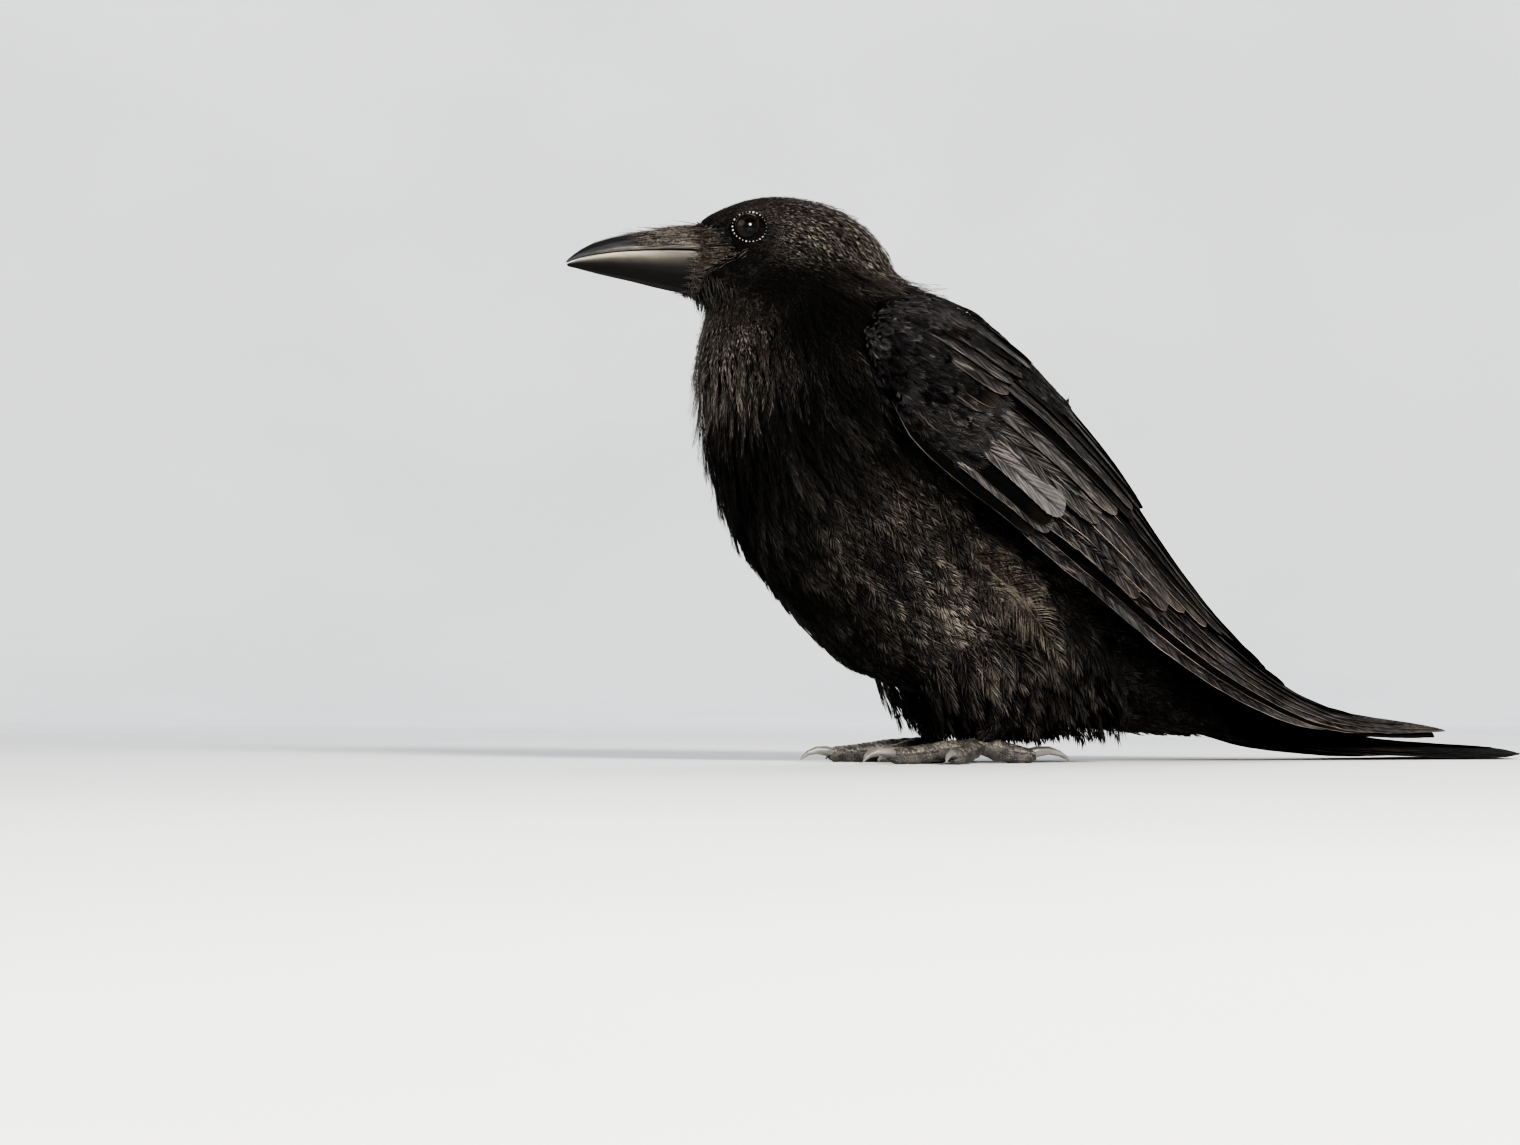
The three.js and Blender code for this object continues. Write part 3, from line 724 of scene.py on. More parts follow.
def makeCoat(surface, walked, cover, plan, material):
    rng = np.random.default_rng(plan["seed"])
    lids = [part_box("lid_" + side) for side in sides]
    beardMiddle = np.array(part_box("head")[0]) * (1, 0, 1) + np.array((4 * mm, 4 * mm, 12 * mm))

    def eyeGap(places):
        return np.min([np.linalg.norm(places - middleOf("lid_" + side), axis=1) for side in sides], axis=0)

    def offLids(places):
        clear = np.ones(len(places), bool)
        for low, high in lids:
            offset = (places - np.array((low + high) / 2)) / (0.5 * np.array(high - low) - 0.10 * mm)
            clear &= (offset[:, 0] ** 2 + offset[:, 2] ** 2 > 1.0) | (np.abs(offset[:, 1]) > 3.0)
        return clear

    def sizeAt(key, places):
        along = coatAlong(places)
        size = np.interp(along, plan["marks"], plan[key]) * mm
        shrink = np.clip((eyeGap(places) - plan["eyeVelvet"][0]) / plan["eyeVelvet"][1], 0.0, 1.0)
        return size * np.where(along < 0.05, 0.55 + 0.45 * shrink, 1.0)

    def isBare(spot, up):
        # under a wing, where no feather is seen; one that the wing touches is at its edge and stays
        far, near = (cover.ray_cast(spot, up, plan[key])[0] for key in ("covered", "touching"))
        return far is not None and near is None

    for name, (start, end, barbs, coarse, point, sweep) in coatParts.items():
        def keep(places):
            along = coatAlong(places)
            return (along >= start) & (along < end) & offLids(places)

        roots = scatterRoots(surface, lambda places: sizeAt("spacing", places), keep, rng)
        spots, ups = nearestOn(surface, roots)
        roots = roots[[not isBare(spot, up) for spot, up in zip(spots.tolist(), ups.tolist())]]
        count = len(roots)
        along, angle, _ = alongSpine(roots)
        reach = coatAlong(roots)
        vent = np.clip((np.abs(angle) - 1.7) / 0.7, 0.0, 1.0)
        throat = vent * np.clip((reach - 0.035) / 0.02, 0, 1) * np.clip((0.12 - reach) / 0.03, 0, 1)
        chin = np.exp(-((roots - beardMiddle) ** 2).sum(axis=1) / (9 * mm) ** 2) * (np.abs(angle) > 1.9)
        tuft = np.exp(-((along - 0.060) / 0.010) ** 2) * (np.abs(angle) < 0.9) * rng.random(count) ** 3
        lengths = sizeAt("length", roots) * rng.uniform(*plan["lengthRange"], count)
        lengths = lengths * (1 + 0.1 * throat) + plan["chinLength"] * chin
        halfWidths = sizeAt("halfWidth", roots) * rng.uniform(*plan["widthRange"], count)
        halfWidths = halfWidths * (1 - plan["throatSlim"] * throat)
        ragged = throat * rng.random(count) ** 2
        lifts = coatDepth(reach) * rng.uniform(*plan["liftRange"], count)
        lifts = lifts * (1 + 0.2 * throat + plan["throatRagged"] * ragged + plan["napeTuft"] * tuft)
        lifts = lifts + plan["chinLift"] * chin * rng.random(count)
        turns = plan["scatter"] * (rng.normal(0, 0.8, count) + 0.8 * swirl(roots, 0.02))
        lines, ups = layLines(walked, roots, lengths, plan["steps"], turns, coatFlow)
        shape = looseVane(barbs, coarse, point, sweep, np.median(lengths / halfWidths))
        # painted light and shade of the coat, read halfway along each feather
        shownAt = 0.5 * (roots + lines[:, -1])
        paintedLight = paintedLightAt(*alongSpine(shownAt)[:2], shownAt)
        # a big field is parted round the body, so that each piece stays under the size limit
        split = math.ceil(count * len(shape["faces"]) / plan["pieceLimit"])
        for index, part in enumerate(np.array_split(np.argsort(angle, kind="stable"), split)):
            field = growVanes(shape, lines[part], ups[part], halfWidths[part], lengths[part], lifts[part],
                              coatFinish, rng, bakePlace(along[part], angle[part]), paintedLight[part])
            coatPiece(name if split == 1 else f"{name}_{index + 1}", [field], material)


trouserPlan = {
    "voxel": 0.8 * mm, "rounds": 6,
    "end": 0.80,  # the share of the shank that the feathers root on
    "length": 13.0, "halfWidth": 2.7, "spacing": 1.7,  # mm
    "lift": (3.6, 2.3),  # at the top and at the end
    "shape": (8, 1, 1.8, 0.36),  # fine and coarse barbs a side, tip roundness, sweep
    # the trousers carry a weak, even painted sheen
    "steps": 5, "scatter": 0.16, "paintedLight": 0.35, "seed": 23,
}


def makeTrousers(plan, material):
    shape = looseVane(*plan["shape"], plan["length"] / plan["halfWidth"])
    for name in sides:
        rng = np.random.default_rng(plan["seed"])
        top, foot = shankEnds(name)
        heading = unit(foot - top)
        surface = surfaceOf(*arraysOf(roundedCopy(["tarsus_" + name], plan["voxel"], plan["rounds"])))

        def shareOf(places):
            return (places - top) @ heading / np.linalg.norm(foot - top)

        roots = scatterRoots(surface, evenly(plan["spacing"] * mm),
                             lambda places: shareOf(places) < plan["end"], rng)
        count = len(roots)
        lengths = plan["length"] * mm * rng.uniform(0.8, 1.15, count)
        halfWidths = plan["halfWidth"] * mm * rng.uniform(0.85, 1.15, count)
        lifts = np.interp(shareOf(roots), (0.0, plan["end"]), plan["lift"]) * mm
        lifts = lifts * rng.uniform(0.7, 1.2, count)
        lines, ups = layLines(surface, roots, lengths, plan["steps"], rng.normal(0, plan["scatter"], count),
                              evenly(heading))
        part = growVanes(shape, lines, ups, halfWidths, lengths, lifts, coatFinish, rng,
                         bakePlace(*alongSpine(roots)[:2]), np.full(count, plan["paintedLight"]))
        coatPiece("trousers_" + name, [part], material)
    print("crow: trousers")


skirtPlan = {
    "middle": 0.66,  # the share of the shank that the hanging feathers surround
    "reach": (34 * mm, 22 * mm), "top": 62 * mm, "foot": 5 * mm,
    "length": 27 * mm, "halfWidth": 4.6 * mm, "spacing": 2.35 * mm, "bow": 1.6 * mm, "lift": 0.6 * mm,
    "down": (0.38, 0.0, -1.0), "scatter": 0.12,
    "shape": (10, 1, 1.9, 0.36),  # fine and coarse barbs a side, tip roundness, sweep
    "steps": 7, "seed": 37,
}


def makeSkirt(surface, plan, material):
    # loose belly feathers that hang round each leg, down to the toes
    shape = looseVane(*plan["shape"], plan["length"] / plan["halfWidth"])
    for name, side in sides.items():
        rng = np.random.default_rng(plan["seed"])
        top, foot = shankEnds(name)
        middle = top + (foot - top) * plan["middle"]

        def keep(places):
            offset = (places - middle)[:, :2] / np.array(plan["reach"])
            return ((offset ** 2).sum(axis=1) < 1.0) & (places[:, 2] < plan["top"])

        roots = scatterRoots(surface, evenly(plan["spacing"]), keep, rng)
        spots, normals = nearestOn(surface, roots)
        under = normals[:, 2] < 0.45
        spots, normals = spots[under], normals[under]
        count = len(spots)
        along, angle, flow = alongSpine(spots)
        lengths = np.minimum(plan["length"], np.maximum(spots[:, 2] - plan["foot"], 5 * mm) * 1.12)
        lengths = lengths * rng.uniform(0.78, 1.05, count)
        outward = unit((spots - middle) * np.array((1.0, 1.0, 0.0)) + np.array((0.0, side * 3 * mm, 0.0)))
        lean = unit(flow * 0.9 + outward * 0.12)
        v = np.linspace(0, 1, plan["steps"])
        turned = np.minimum(1.0, 0.10 + v)[None, :, None]
        hang = plan["down"] + rng.normal(0, plan["scatter"], (count, 1, 3))
        course = unit(lean[:, None] * (1 - turned) + hang * turned)
        steps = course[:, 1:] * (lengths / (plan["steps"] - 1))[:, None, None]
        lines = spots[:, None] + np.concatenate((np.zeros((count, 1, 3)), np.cumsum(steps, axis=1)), axis=1)
        lines = lines + outward[:, None] * (plan["bow"] * np.sin(np.pi * v * 0.8))[None, :, None]
        ups = unit(normals[:, None] * (1 - turned) + outward[:, None] * turned)
        halfWidths = plan["halfWidth"] * rng.uniform(0.8, 1.1, count)
        halfWidths = halfWidths * np.minimum(1.0, lengths / plan["length"] + 0.3)
        lifts = np.full(count, plan["lift"])
        # the coat's painted light and shade, read at each root
        part = growVanes(shape, lines, ups, halfWidths, lengths, lifts, coatFinish, rng,
                         bakePlace(along, angle), paintedLightAt(along, angle, spots))
        coatPiece("belly_feathers_" + name, [part], material)
    print("crow: belly feathers")


strayPlan = {
    "place": (0.392, 0.417),  # its root on the flank, as shares of the trunk's length and height
    "length": 50.0, "halfWidth": 12.0, "lift": 6.0,  # mm
    "shape": (54, 0, 2.0, 0.27),  # fine and coarse barbs a side, tip roundness, sweep
    "low": 0.20,  # where along it the fine barbs begin to end
    "wide": 0.006,  # added half width of each barb
    "shaft": (0.020, 0.55, 2.8),  # half width, place of its thickest part, ridge
    # its high painted-light amount gives its tips the brown-grey painted sheen
    "steps": 12, "turn": -0.05, "paintedLight": 1.7, "seed": 9,
}
strayFinish = {**coatFinish, "lowStart": 0.55, "ruffle": 0.7 * mm, "fray": 0.07, "roundness": 24 * mm,
               "thick": 0.5 * mm}


def makeStrayFeather(surface, plan, material):
    # one long loose feather on each flank, its pale shaft showing
    x, _, z = boxPlace("trunk", *plan["place"], 0.0)
    shape = looseVane(*plan["shape"], plan["length"] / plan["halfWidth"], plan["low"], plan["wide"],
                      plan["shaft"])
    for name, side in sides.items():
        rng = np.random.default_rng(plan["seed"])
        roots = np.array([surface["tree"].ray_cast((x, 0.2 * side, z), (0, -side, 0))[0][:]])
        halfWidths, lengths, lifts = (np.array([plan[key] * mm]) for key in ("halfWidth", "length", "lift"))
        turns = np.array([plan["turn"] * side])
        lines, ups = layLines(surface, roots, lengths, plan["steps"], turns, coatFlow)
        part = growVanes(shape, lines, ups, halfWidths, lengths, lifts, strayFinish, rng,
                         bakePlace(*alongSpine(roots)[:2]), np.array([plan["paintedLight"]]))
        coatPiece("flank_feather_" + name, [part], material)
    print("crow: flank feathers")


wingPlan = {
    "slices": 44,
    "ends": (0.012, 0.985),  # the first and last slice, as shares of the wing's length
    "fall": 0.93,  # how much of the box's height its length runs down
    "smooth": 3,
    "seeds": {"left": 31, "right": 47},
}


def wingFrame(plan):
    # slices the left wing's solids across their length: middle, half width, its directions and its swell
    corners = triangleCorners("wing_left_coverts", "wing_left_secondaries", "wing_left_primaries")
    low, high = corners.reshape(-1, 3).min(axis=0), corners.reshape(-1, 3).max(axis=0)
    axis = unit(np.array((high[0] - low[0], 0.0, plan["fall"] * (low[2] - high[2]))))
    reach = corners.reshape(-1, 3) @ axis
    rows = []
    for share in np.linspace(*plan["ends"], plan["slices"]):
        cut = cutAt(corners, axis, reach.min() + np.ptp(reach) * share)
        middle = 0.5 * (cut.min(axis=0) + cut.max(axis=0))
        offsets = cut - cut.mean(axis=0)
        across = np.linalg.eigh(offsets.T @ offsets)[1][:, -1]
        across = across * math.copysign(1.0, across[2] + 0.2 * across[1])
        outward = np.cross(axis, across)
        outward = outward * math.copysign(1.0, -outward[1] + 0.2 * outward[2])
        reaches = (cut - middle) @ across
        half = 0.5 * np.ptp(reaches)
        middle = middle + across * 0.5 * (reaches.max() + reaches.min())
        heights = (cut - middle) @ outward
        away = np.abs((cut - middle) @ across)
        base = heights[away > 0.85 * half].mean()
        swell = heights[away < 0.4 * half].max() - base
        rows.append(np.concatenate((middle + outward * base, across, outward, [half, swell])))
    rows = np.array(rows)
    for _ in range(plan["smooth"]):
        rows[1:-1] = 0.25 * rows[:-2] + 0.5 * rows[1:-1] + 0.25 * rows[2:]
    return {"rows": rows, "axis": axis, "low": reach.min(), "span": np.ptp(reach)}


def wingPoints(rows, side, s, t, lift):
    # a place on the wing: s along it, t across from the lower edge -1 to the upper edge 1
    row = readAt(rows, np.clip(s, 0.0, None) * (len(rows) - 1))
    middle, across, outward = row[..., 0:3], unit(row[..., 3:6]), unit(row[..., 6:9])
    half, swell = row[..., 9:10], row[..., 10:11]
    t = t[..., None]
    points = middle + across * half * t + outward * (swell * (1 - t ** 2) + lift[..., None])
    normals = unit(outward + across * (2 * swell * t / np.maximum(half, 4 * mm)))
    mirror = np.array((1.0, -side, 1.0))  # the frame is the left wing's, with y below zero
    return points * mirror, normals * mirror


def shellFaces(rows, columns, flipped):
    # triangles over a grid of points and, turned over, under a second grid that follows it
    index = np.arange(rows * columns).reshape(rows, columns)
    a, b, c, d = index[:-1, :-1], index[1:, :-1], index[1:, 1:], index[:-1, 1:]
    faces = np.concatenate((np.stack((a, b, c), -1).reshape(-1, 3), np.stack((a, c, d), -1).reshape(-1, 3)))
    faces = faces[:, ::-1] if flipped else faces
    return np.concatenate((faces, faces[:, ::-1] + rows * columns))


longVane = {"rows": 40, "columns": (-1.0, -0.8, -0.45, -0.16, 0.0, 0.16, 0.4, 0.7, 0.9, 1.0)}


def longFeather(line, up, outer, inner, plan, rng, bake):
    # a closed flight feather: outer and inner web widths, raised shaft, split and worn edges
    columns = np.array(longVane["columns"])
    v = 1 - (1 - np.linspace(0, 1, longVane["rows"])) ** 1.5  # closer rows round the tip
    place = v * (len(line) - 1)
    middle = readAt(line, place)
    up = unit(readAt(up, place))
    ahead = unit(np.gradient(middle, axis=0))
    outward = unit(np.cross(up, ahead)) * plan["hand"]
    length = np.linalg.norm(np.diff(middle, axis=0), axis=1).sum()
    tip = np.clip((v - plan["tipFrom"]) / (1 - plan["tipFrom"]), 0, 1)
    width = np.minimum(1.0, 0.25 + v * plan["grow"]) * np.sqrt(np.maximum(1 - tip ** plan["tipPower"], 0.0))
    widths = np.where(columns < 0, outer, inner)[None, :] * columns[None, :] * width[:, None]
    # worn and parted edges
    for edge, share in ((0, 1.0), (-1, 1.0), (1, 0.35), (-2, 0.35)):
        wear = 1 - plan["wear"] * share * rng.random(len(v)) ** 2
        if share == 1.0:
            for spot in rng.integers(4, len(v) - 3, plan["splits"]):
                wear[spot] *= 1 - plan["splitDepth"] * rng.random()
        widths[:, edge] *= wear
    sweep = np.abs(widths) * plan["sweep"] * (1 - tip[:, None] * 0.75)
    taper = np.sin(np.pi * np.clip(v, 0.02, 0.98)) ** 0.4
    top = plan["shaft"] * np.exp(-(columns / 0.09) ** 2)[None, :] * (1 - 0.75 * v[:, None])
    ripple = plan["ripple"] * np.sin(v[:, None] * plan["waves"] + columns[None, :] * 2.0 + rng.random() * 6)
    height = plan["roll"] * widths / max(inner, outer) + -widths ** 2 / (2 * plan["roundness"])
    height = height + ripple * np.abs(columns)[None, :]
    thick = plan["thick"] * (1 - columns ** 2)[None, :] * taper[:, None]
    base = middle[:, None] + outward[:, None] * widths[..., None] + ahead[:, None] * sweep[..., None]
    topPoints = base + up[:, None] * (height + top)[..., None]
    lowPoints = base + up[:, None] * (height - thick)[..., None]
    for rim in (np.s_[:, 0], np.s_[:, -1], np.s_[0], np.s_[-1]):
        lowPoints[rim] = topPoints[rim]
    points = np.concatenate((topPoints.reshape(-1, 3), lowPoints.reshape(-1, 3)))
    tones = np.empty((len(points), 4))
    tones[:, 0] = plan["chance"]
    # only the outer web's edge bleaches fully
    margin = np.where(columns < 0, -columns, 0.86 * columns) - 1.3 * (columns == 0)
    tones[:, 1] = np.tile(np.broadcast_to(margin, widths.shape).ravel(), 2)
    tones[:, 2] = np.tile(np.repeat(v, len(columns)), 2)
    tones[:, 3] = plan["paintedLightLevel"]
    drawn = np.broadcast_to(length * v[:, None], widths.shape) + sweep
    vane = np.stack((widths, drawn), -1).reshape(-1, 2) * vaneScale
    patch = np.stack(np.broadcast_arrays(columns[None, :], v[:, None]), -1).reshape(-1, 2) * patchSize
    return {
        "points": points,
        "triangles": shellFaces(*widths.shape, plan["hand"] > 0),
        "tones": tones,
        "vane": np.tile(vane, (2, 1)),
        "bake": bake + np.tile(patch, (2, 1)),
    }


featherFinish = {
    "tipFrom": 0.86, "tipPower": 2.2, "wear": 0.07, "splits": 2, "splitDepth": 0.10, "sweep": 0.35,
    "shaft": 0.38 * mm, "roll": -1.5 * mm, "roundness": 38 * mm, "ripple": 0.16 * mm, "waves": 17.0,
    "thick": 0.35 * mm, "grow": 5.0, "jitter": (0.006, 0.012),
}
tracts = {
    # count; root and tip along the wing and across it, for the lowest and the highest feather;
    # web widths and lifts in mm; worn lists the feathers that are frayed brown, and the list after it, where
    # there is one, names those painted with a grey sheen
    "primaries": {
        "count": 8, "root": (0.24, 0.34), "tip": (0.80, 0.86), "crest": 0.155, "across": (-1.02, -0.42),
        "acrossTip": (-0.95, 0.50), "outer": 3.4, "inner": 9.0, "lift": (-2.6, -2.4), "tipLift": (-0.8, 0.0),
        "tipFrom": 0.80, "tipPower": 1.7, "sweep": 0.55, "worn": (0, 1, 2, 3, 4, 5, 6, 7),
    },
    "secondaries": {
        "count": 11, "root": (0.20, 0.20), "tip": (0.445, 0.755), "crest": 0.03, "across": (-0.80, 0.70),
        "acrossTip": (-0.80, 0.86), "outer": 4.4, "inner": 11.0, "lift": (-2.2, -1.6), "tipLift": (0.0, 0.9),
        "tipFrom": 0.90, "tipPower": 2.4, "sweep": 0.45, "worn": (1, 2, 4, 6),
    },
    "primaryCoverts": {
        "count": 2, "root": (0.05, 0.06), "tip": (0.268, 0.285), "crest": 0.0, "across": (-0.96, -0.84),
        "acrossTip": (-1.04, -0.94), "outer": 3.4, "inner": 8.0, "lift": (-0.9, -0.7), "tipLift": (0.5, 0.7),
        "sweep": 0.45, "worn": (0, 1),
    },
    "greaterCoverts": {
        "count": 10, "root": (0.06, 0.08), "tip": (0.275, 0.46), "crest": 0.035, "across": (-0.80, 0.74),
        "acrossTip": (-0.90, 0.80), "outer": 5.4, "inner": 10.0, "lift": (-1.2, -0.9), "tipLift": (0.9, 1.5),
        "sweep": 0.5, "worn": (0, 3, 6, 8), "paintedLight": (1,), "sheenTip": (0.293, -0.78), "sheenLift": 1.0,
        "sheenWide": 0.85, "grow": 0.9, "jitter": (0.010, 0.030), "splitDepth": 0.12,
    },
    "medianCoverts": {
        "count": 10, "root": (0.015, 0.01), "tip": (0.115, 0.215), "crest": 0.012, "across": (-0.62, 0.74),
        "acrossTip": (-0.80, 0.78), "outer": 5.2, "inner": 8.0, "lift": (-0.6, -0.6), "tipLift": (1.0, 1.5),
        "tipFrom": 0.70, "tipPower": 2.0, "sweep": 0.5, "grow": 1.2, "jitter": (0.008, 0.026),
        "splitDepth": 0.12, "worn": (1, 4, 7),
    },
}


def layTract(rows, side, tract, rng, hand):
    made = []
    v = np.linspace(0, 1, 12)
    for index in range(tract["count"]):
        share = index / (tract["count"] - 1)
        sheenFeather = index in tract.get("paintedLight", ())
        finish = {**featherFinish, **{key: tract[key] for key in tract if key in featherFinish}}
        root, tip, across, acrossTip, lift, tipLift = (
            tract[key][0] + (tract[key][1] - tract[key][0]) * share
            for key in ("root", "tip", "across", "acrossTip", "lift", "tipLift")
        )
        tip = tip + tract["crest"] * math.sin(math.pi * min(1.0, share * 1.15))
        tip = tip + rng.normal(0, finish["jitter"][0])
        turn = rng.normal(0, finish["jitter"][1])
        lift = (lift + (tipLift - lift) * v ** 1.2) * mm
        if sheenFeather:
            # the one painted with a grey sheen lies over its neighbours
            tip, acrossTip = tract["sheenTip"]
            turn = 0.0
            lift = lift + tract["sheenLift"] * mm * v
        t = across + (acrossTip - across) * v + turn * v
        line, up = wingPoints(rows, side, root + (tip - root) * v, t, lift)
        finish["hand"] = hand
        # painted-light level: high for the covert painted with a grey sheen, random for the rest
        finish["paintedLightLevel"] = 1.5 if sheenFeather else 0.8 * rng.random()
        finish["chance"] = 1.0 if index in tract.get("worn", ()) else 0.8 * rng.random()
        finish["roll"] = featherFinish["roll"] * rng.uniform(0.7, 1.3)
        bake = np.array((0.1 + 0.35 * (side > 0) + 0.3 * share, 0.3 + 0.5 * root))
        grow = rng.uniform(0.93, 1.08) * (tract["sheenWide"] if sheenFeather else 1.0) * mm
        made.append(longFeather(line, up, tract["outer"] * grow, tract["inner"] * grow, finish, rng, bake))
    return made


smallCoverts = {
    "marks": (0.0, 0.05, 0.12, 0.25, 0.40),  # shares of the wing's length
    "length": (7.0, 10.0, 14.0, 20.0, 26.0),  # mm
    "halfWidth": (1.9, 2.7, 3.8, 4.6, 5.0),
    "spacing": (1.8, 2.3, 3.0, 3.8, 4.4),
    "end": (0.140, 0.40),  # how far back they root, low and high on the wing
    "voxel": 1.2 * mm, "rounds": 10,
    "inset": 1.1, "lift": 1.3, "steps": 6, "scatter": 0.14,
    "shape": (12, 1, 2.3, 0.30),  # fine and coarse barbs a side, tip roundness, sweep
}
smallFinish = {**coatFinish, "ruffle": 0.08 * mm, "fray": 0.04}


def laySmallCoverts(wing, side, plan, rng):
    # the lesser coverts and shoulder feathers, scattered over the wing's top and laid along it
    points, triangles, normals = arraysOf(roundedCopy(["wing_left_coverts"], plan["voxel"], plan["rounds"]))
    surface = surfaceOf(points - normals * plan["inset"] * mm, triangles, normals)

    def shareOf(places):
        return (places @ wing["axis"] - wing["low"]) / wing["span"]

    def heightOf(places):
        row = np.clip(shareOf(places) * len(wing["rows"]), 0, len(wing["rows"]) - 1).astype(int)
        frames = wing["rows"][row]
        return ((places - frames[:, 0:3]) * frames[:, 3:6]).sum(axis=1) / frames[:, 9], frames[:, 6:9]

    def sizeAt(key, places):
        return np.interp(shareOf(places), plan["marks"], plan[key]) * mm

    def keep(places):
        height, outward = heightOf(places)
        _, ups = nearestOn(surface, places)
        end = np.interp(height, (0.25, 0.75), plan["end"])
        # none on the rims of the solid, where they would stand away from the wing
        facing = ((ups * outward).sum(axis=1) > 0.10) & (ups @ wing["axis"] < 0.30)
        return (shareOf(places) < end) & facing & (height < 0.93)

    roots = scatterRoots(surface, lambda places: sizeAt("spacing", places), keep, rng)
    count = len(roots)
    lengths = sizeAt("length", roots) * rng.uniform(0.85, 1.15, count)
    halfWidths = sizeAt("halfWidth", roots) * rng.uniform(0.88, 1.12, count)
    turns = plan["scatter"] * (rng.normal(0, 0.7, count) + swirl(roots, 0.02))
    lines, ups = layLines(surface, roots, lengths, plan["steps"], turns, evenly(wing["axis"]))
    mirror = np.array((1.0, -side, 1.0))
    bake = np.stack((0.1 + 0.35 * (side > 0) + 2.0 * roots[:, 2], 0.3 + 0.3 * shareOf(roots)), axis=-1)
    shape = looseVane(*plan["shape"], np.median(lengths / halfWidths))
    high = np.clip((heightOf(roots)[0] - 0.30) / 0.4, 0.0, 1.0)
    lifts = plan["lift"] * mm * rng.uniform(0.75, 1.2, count) * (1 - 0.9 * high)
    # painted sheen on the shoulder feathers, stronger in random patches
    paintedLight = 0.25 + 0.35 * np.clip(swirl(roots, 0.012), 0, 1)
    return growVanes(shape, lines * mirror, ups * mirror, halfWidths, lengths, lifts, smallFinish, rng, bake,
                     paintedLight)


corePlan = {"end": 0.97, "edge": 0.9, "steps": (50, 15), "depth": 2.0 * mm, "thick": 2.2 * mm}


def wingCore(rows, side, plan):
    # the dark underside of the wing, which closes it behind the feathers
    end, edge = plan["end"], plan["edge"]
    s, t = np.meshgrid(np.linspace(0.0, end, plan["steps"][0]), np.linspace(-edge, edge, plan["steps"][1]),
                       indexing="ij")
    rim = np.minimum(1 - np.abs(t) / edge, np.minimum(s, end - s) * 6)
    outer, _ = wingPoints(rows, side, s, t, np.full(s.shape, -plan["depth"]))
    inner, _ = wingPoints(rows, side, s, t, -plan["depth"] - plan["thick"] * np.clip(rim * 3, 0, 1))
    shape = bmesh.new()
    corners = [shape.verts.new(point) for point in (*outer.reshape(-1, 3), *inner.reshape(-1, 3))]
    for face in shellFaces(*s.shape, side > 0).tolist():
        shape.faces.new([corners[corner] for corner in face])
    bmesh.ops.remove_doubles(shape, verts=shape.verts, dist=1e-6)
    bmesh.ops.recalc_face_normals(shape, faces=shape.faces)
    return smoothMesh("wing_core", shape)


def makeWings(plan, flightMaterial, covertMaterial, shoulderMaterial, skinMaterial):
    wing = wingFrame(plan)
    rows = wing["rows"]
    for name, side in sides.items():
        rng = np.random.default_rng(plan["seeds"][name])
        cad = "wing_" + name + "_"
        feathers = {key: layTract(rows, side, tract, rng, -side) for key, tract in tracts.items()}
        coverts = [*feathers["greaterCoverts"], *feathers["primaryCoverts"], *feathers["medianCoverts"]]
        for label, parts, material, slot, solid in (
            ("primary_feathers_", feathers["primaries"], flightMaterial, "flight", "primaries"),
            ("secondary_feathers_", feathers["secondaries"], flightMaterial, "flight", "secondaries"),
            ("covert_feathers_", coverts, covertMaterial, "plumage", "coverts"),
        ):
            coatPiece(label + name, parts, material, [cad + solid], smooth=True)
        shoulder = laySmallCoverts(wing, side, smallCoverts, rng)
        coatPiece("shoulder_feathers_" + name, [shoulder], shoulderMaterial)
        addPiece("wing_core_" + name, wingCore(rows, side, corePlan), skinMaterial)
    print("crow: wings")


tailPlan = {
    "pairs": 6,
    "root": 0.02,  # as shares of the tail's length
    "tips": (1.0, 0.995, 0.985, 0.97, 0.95, 0.925),  # from the middle pair out
    "fan": (0.16, 0.33, 0.50, 0.65, 0.78, 0.88),  # where each tip lies across, as shares of the half width
    "outer": 7.0, "inner": 11.5, "steps": 14, "lean": 0.12, "seed": 71,
}
# the tail's low painted-light level paints it towards near-black shade and keeps its painted sheen weak
tailFinish = {**featherFinish, "tipFrom": 0.88, "tipPower": 2.4, "paintedLightLevel": 0.2, "chance": 0.1, "roll": 0.5 * mm,
              "roundness": 90 * mm, "sweep": 0.4, "shaft": 0.4 * mm}


def makeTail(plan, material):
    low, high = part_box("tail")
    solid = cadCopy("tail")
    tree = BVHTree.FromBMesh(solid)
    solid.free()
    rng = np.random.default_rng(plan["seed"])
    v = np.linspace(0, 1, plan["steps"])
    made = []
    for pair, (tip, fan) in enumerate(zip(plan["tips"], plan["fan"])):
        for side in sides.values():
            layer = 1 - (pair + 0.5 * (side > 0)) / plan["pairs"]
            x = low.x + (high.x - low.x) * (plan["root"] + (tip - plan["root"]) * v)
            y = side * high.y * fan * (0.18 + 0.82 * v ** 1.1) * (0.35 + 0.65 * v)
            line = []
            for along, across in zip(x, y):
                above = tree.ray_cast((along, across * 0.8, 0.2), (0, 0, -1))[0]
                below = tree.ray_cast((along, across * 0.8, -0.2), (0, 0, 1))[0]
                top = above.z if above else line[-1][2]
                base = below.z if below else 0.3 * mm
                height = base + 1.2 * mm + (top - base - 1.6 * mm) * (0.08 + 0.92 * layer)
                line.append((along, across, height))
            line = np.array(line)
            line[:, 2] = np.maximum(line[:, 2], (0.7 + 2.4 * layer) * mm)  # the floor holds each layer up
            up = unit(np.tile((0.0, side * plan["lean"], 1.0), (len(v), 1)))
            bake = np.array((0.5 + side * 0.05 * (pair + 1), 0.92))
            made.append(longFeather(line, up, plan["outer"] * mm, plan["inner"] * mm,
                                    {**tailFinish, "hand": -side}, rng, bake))
    coatPiece("tail_feathers", made, material, ["tail"], smooth=True)
    print("crow: tail")


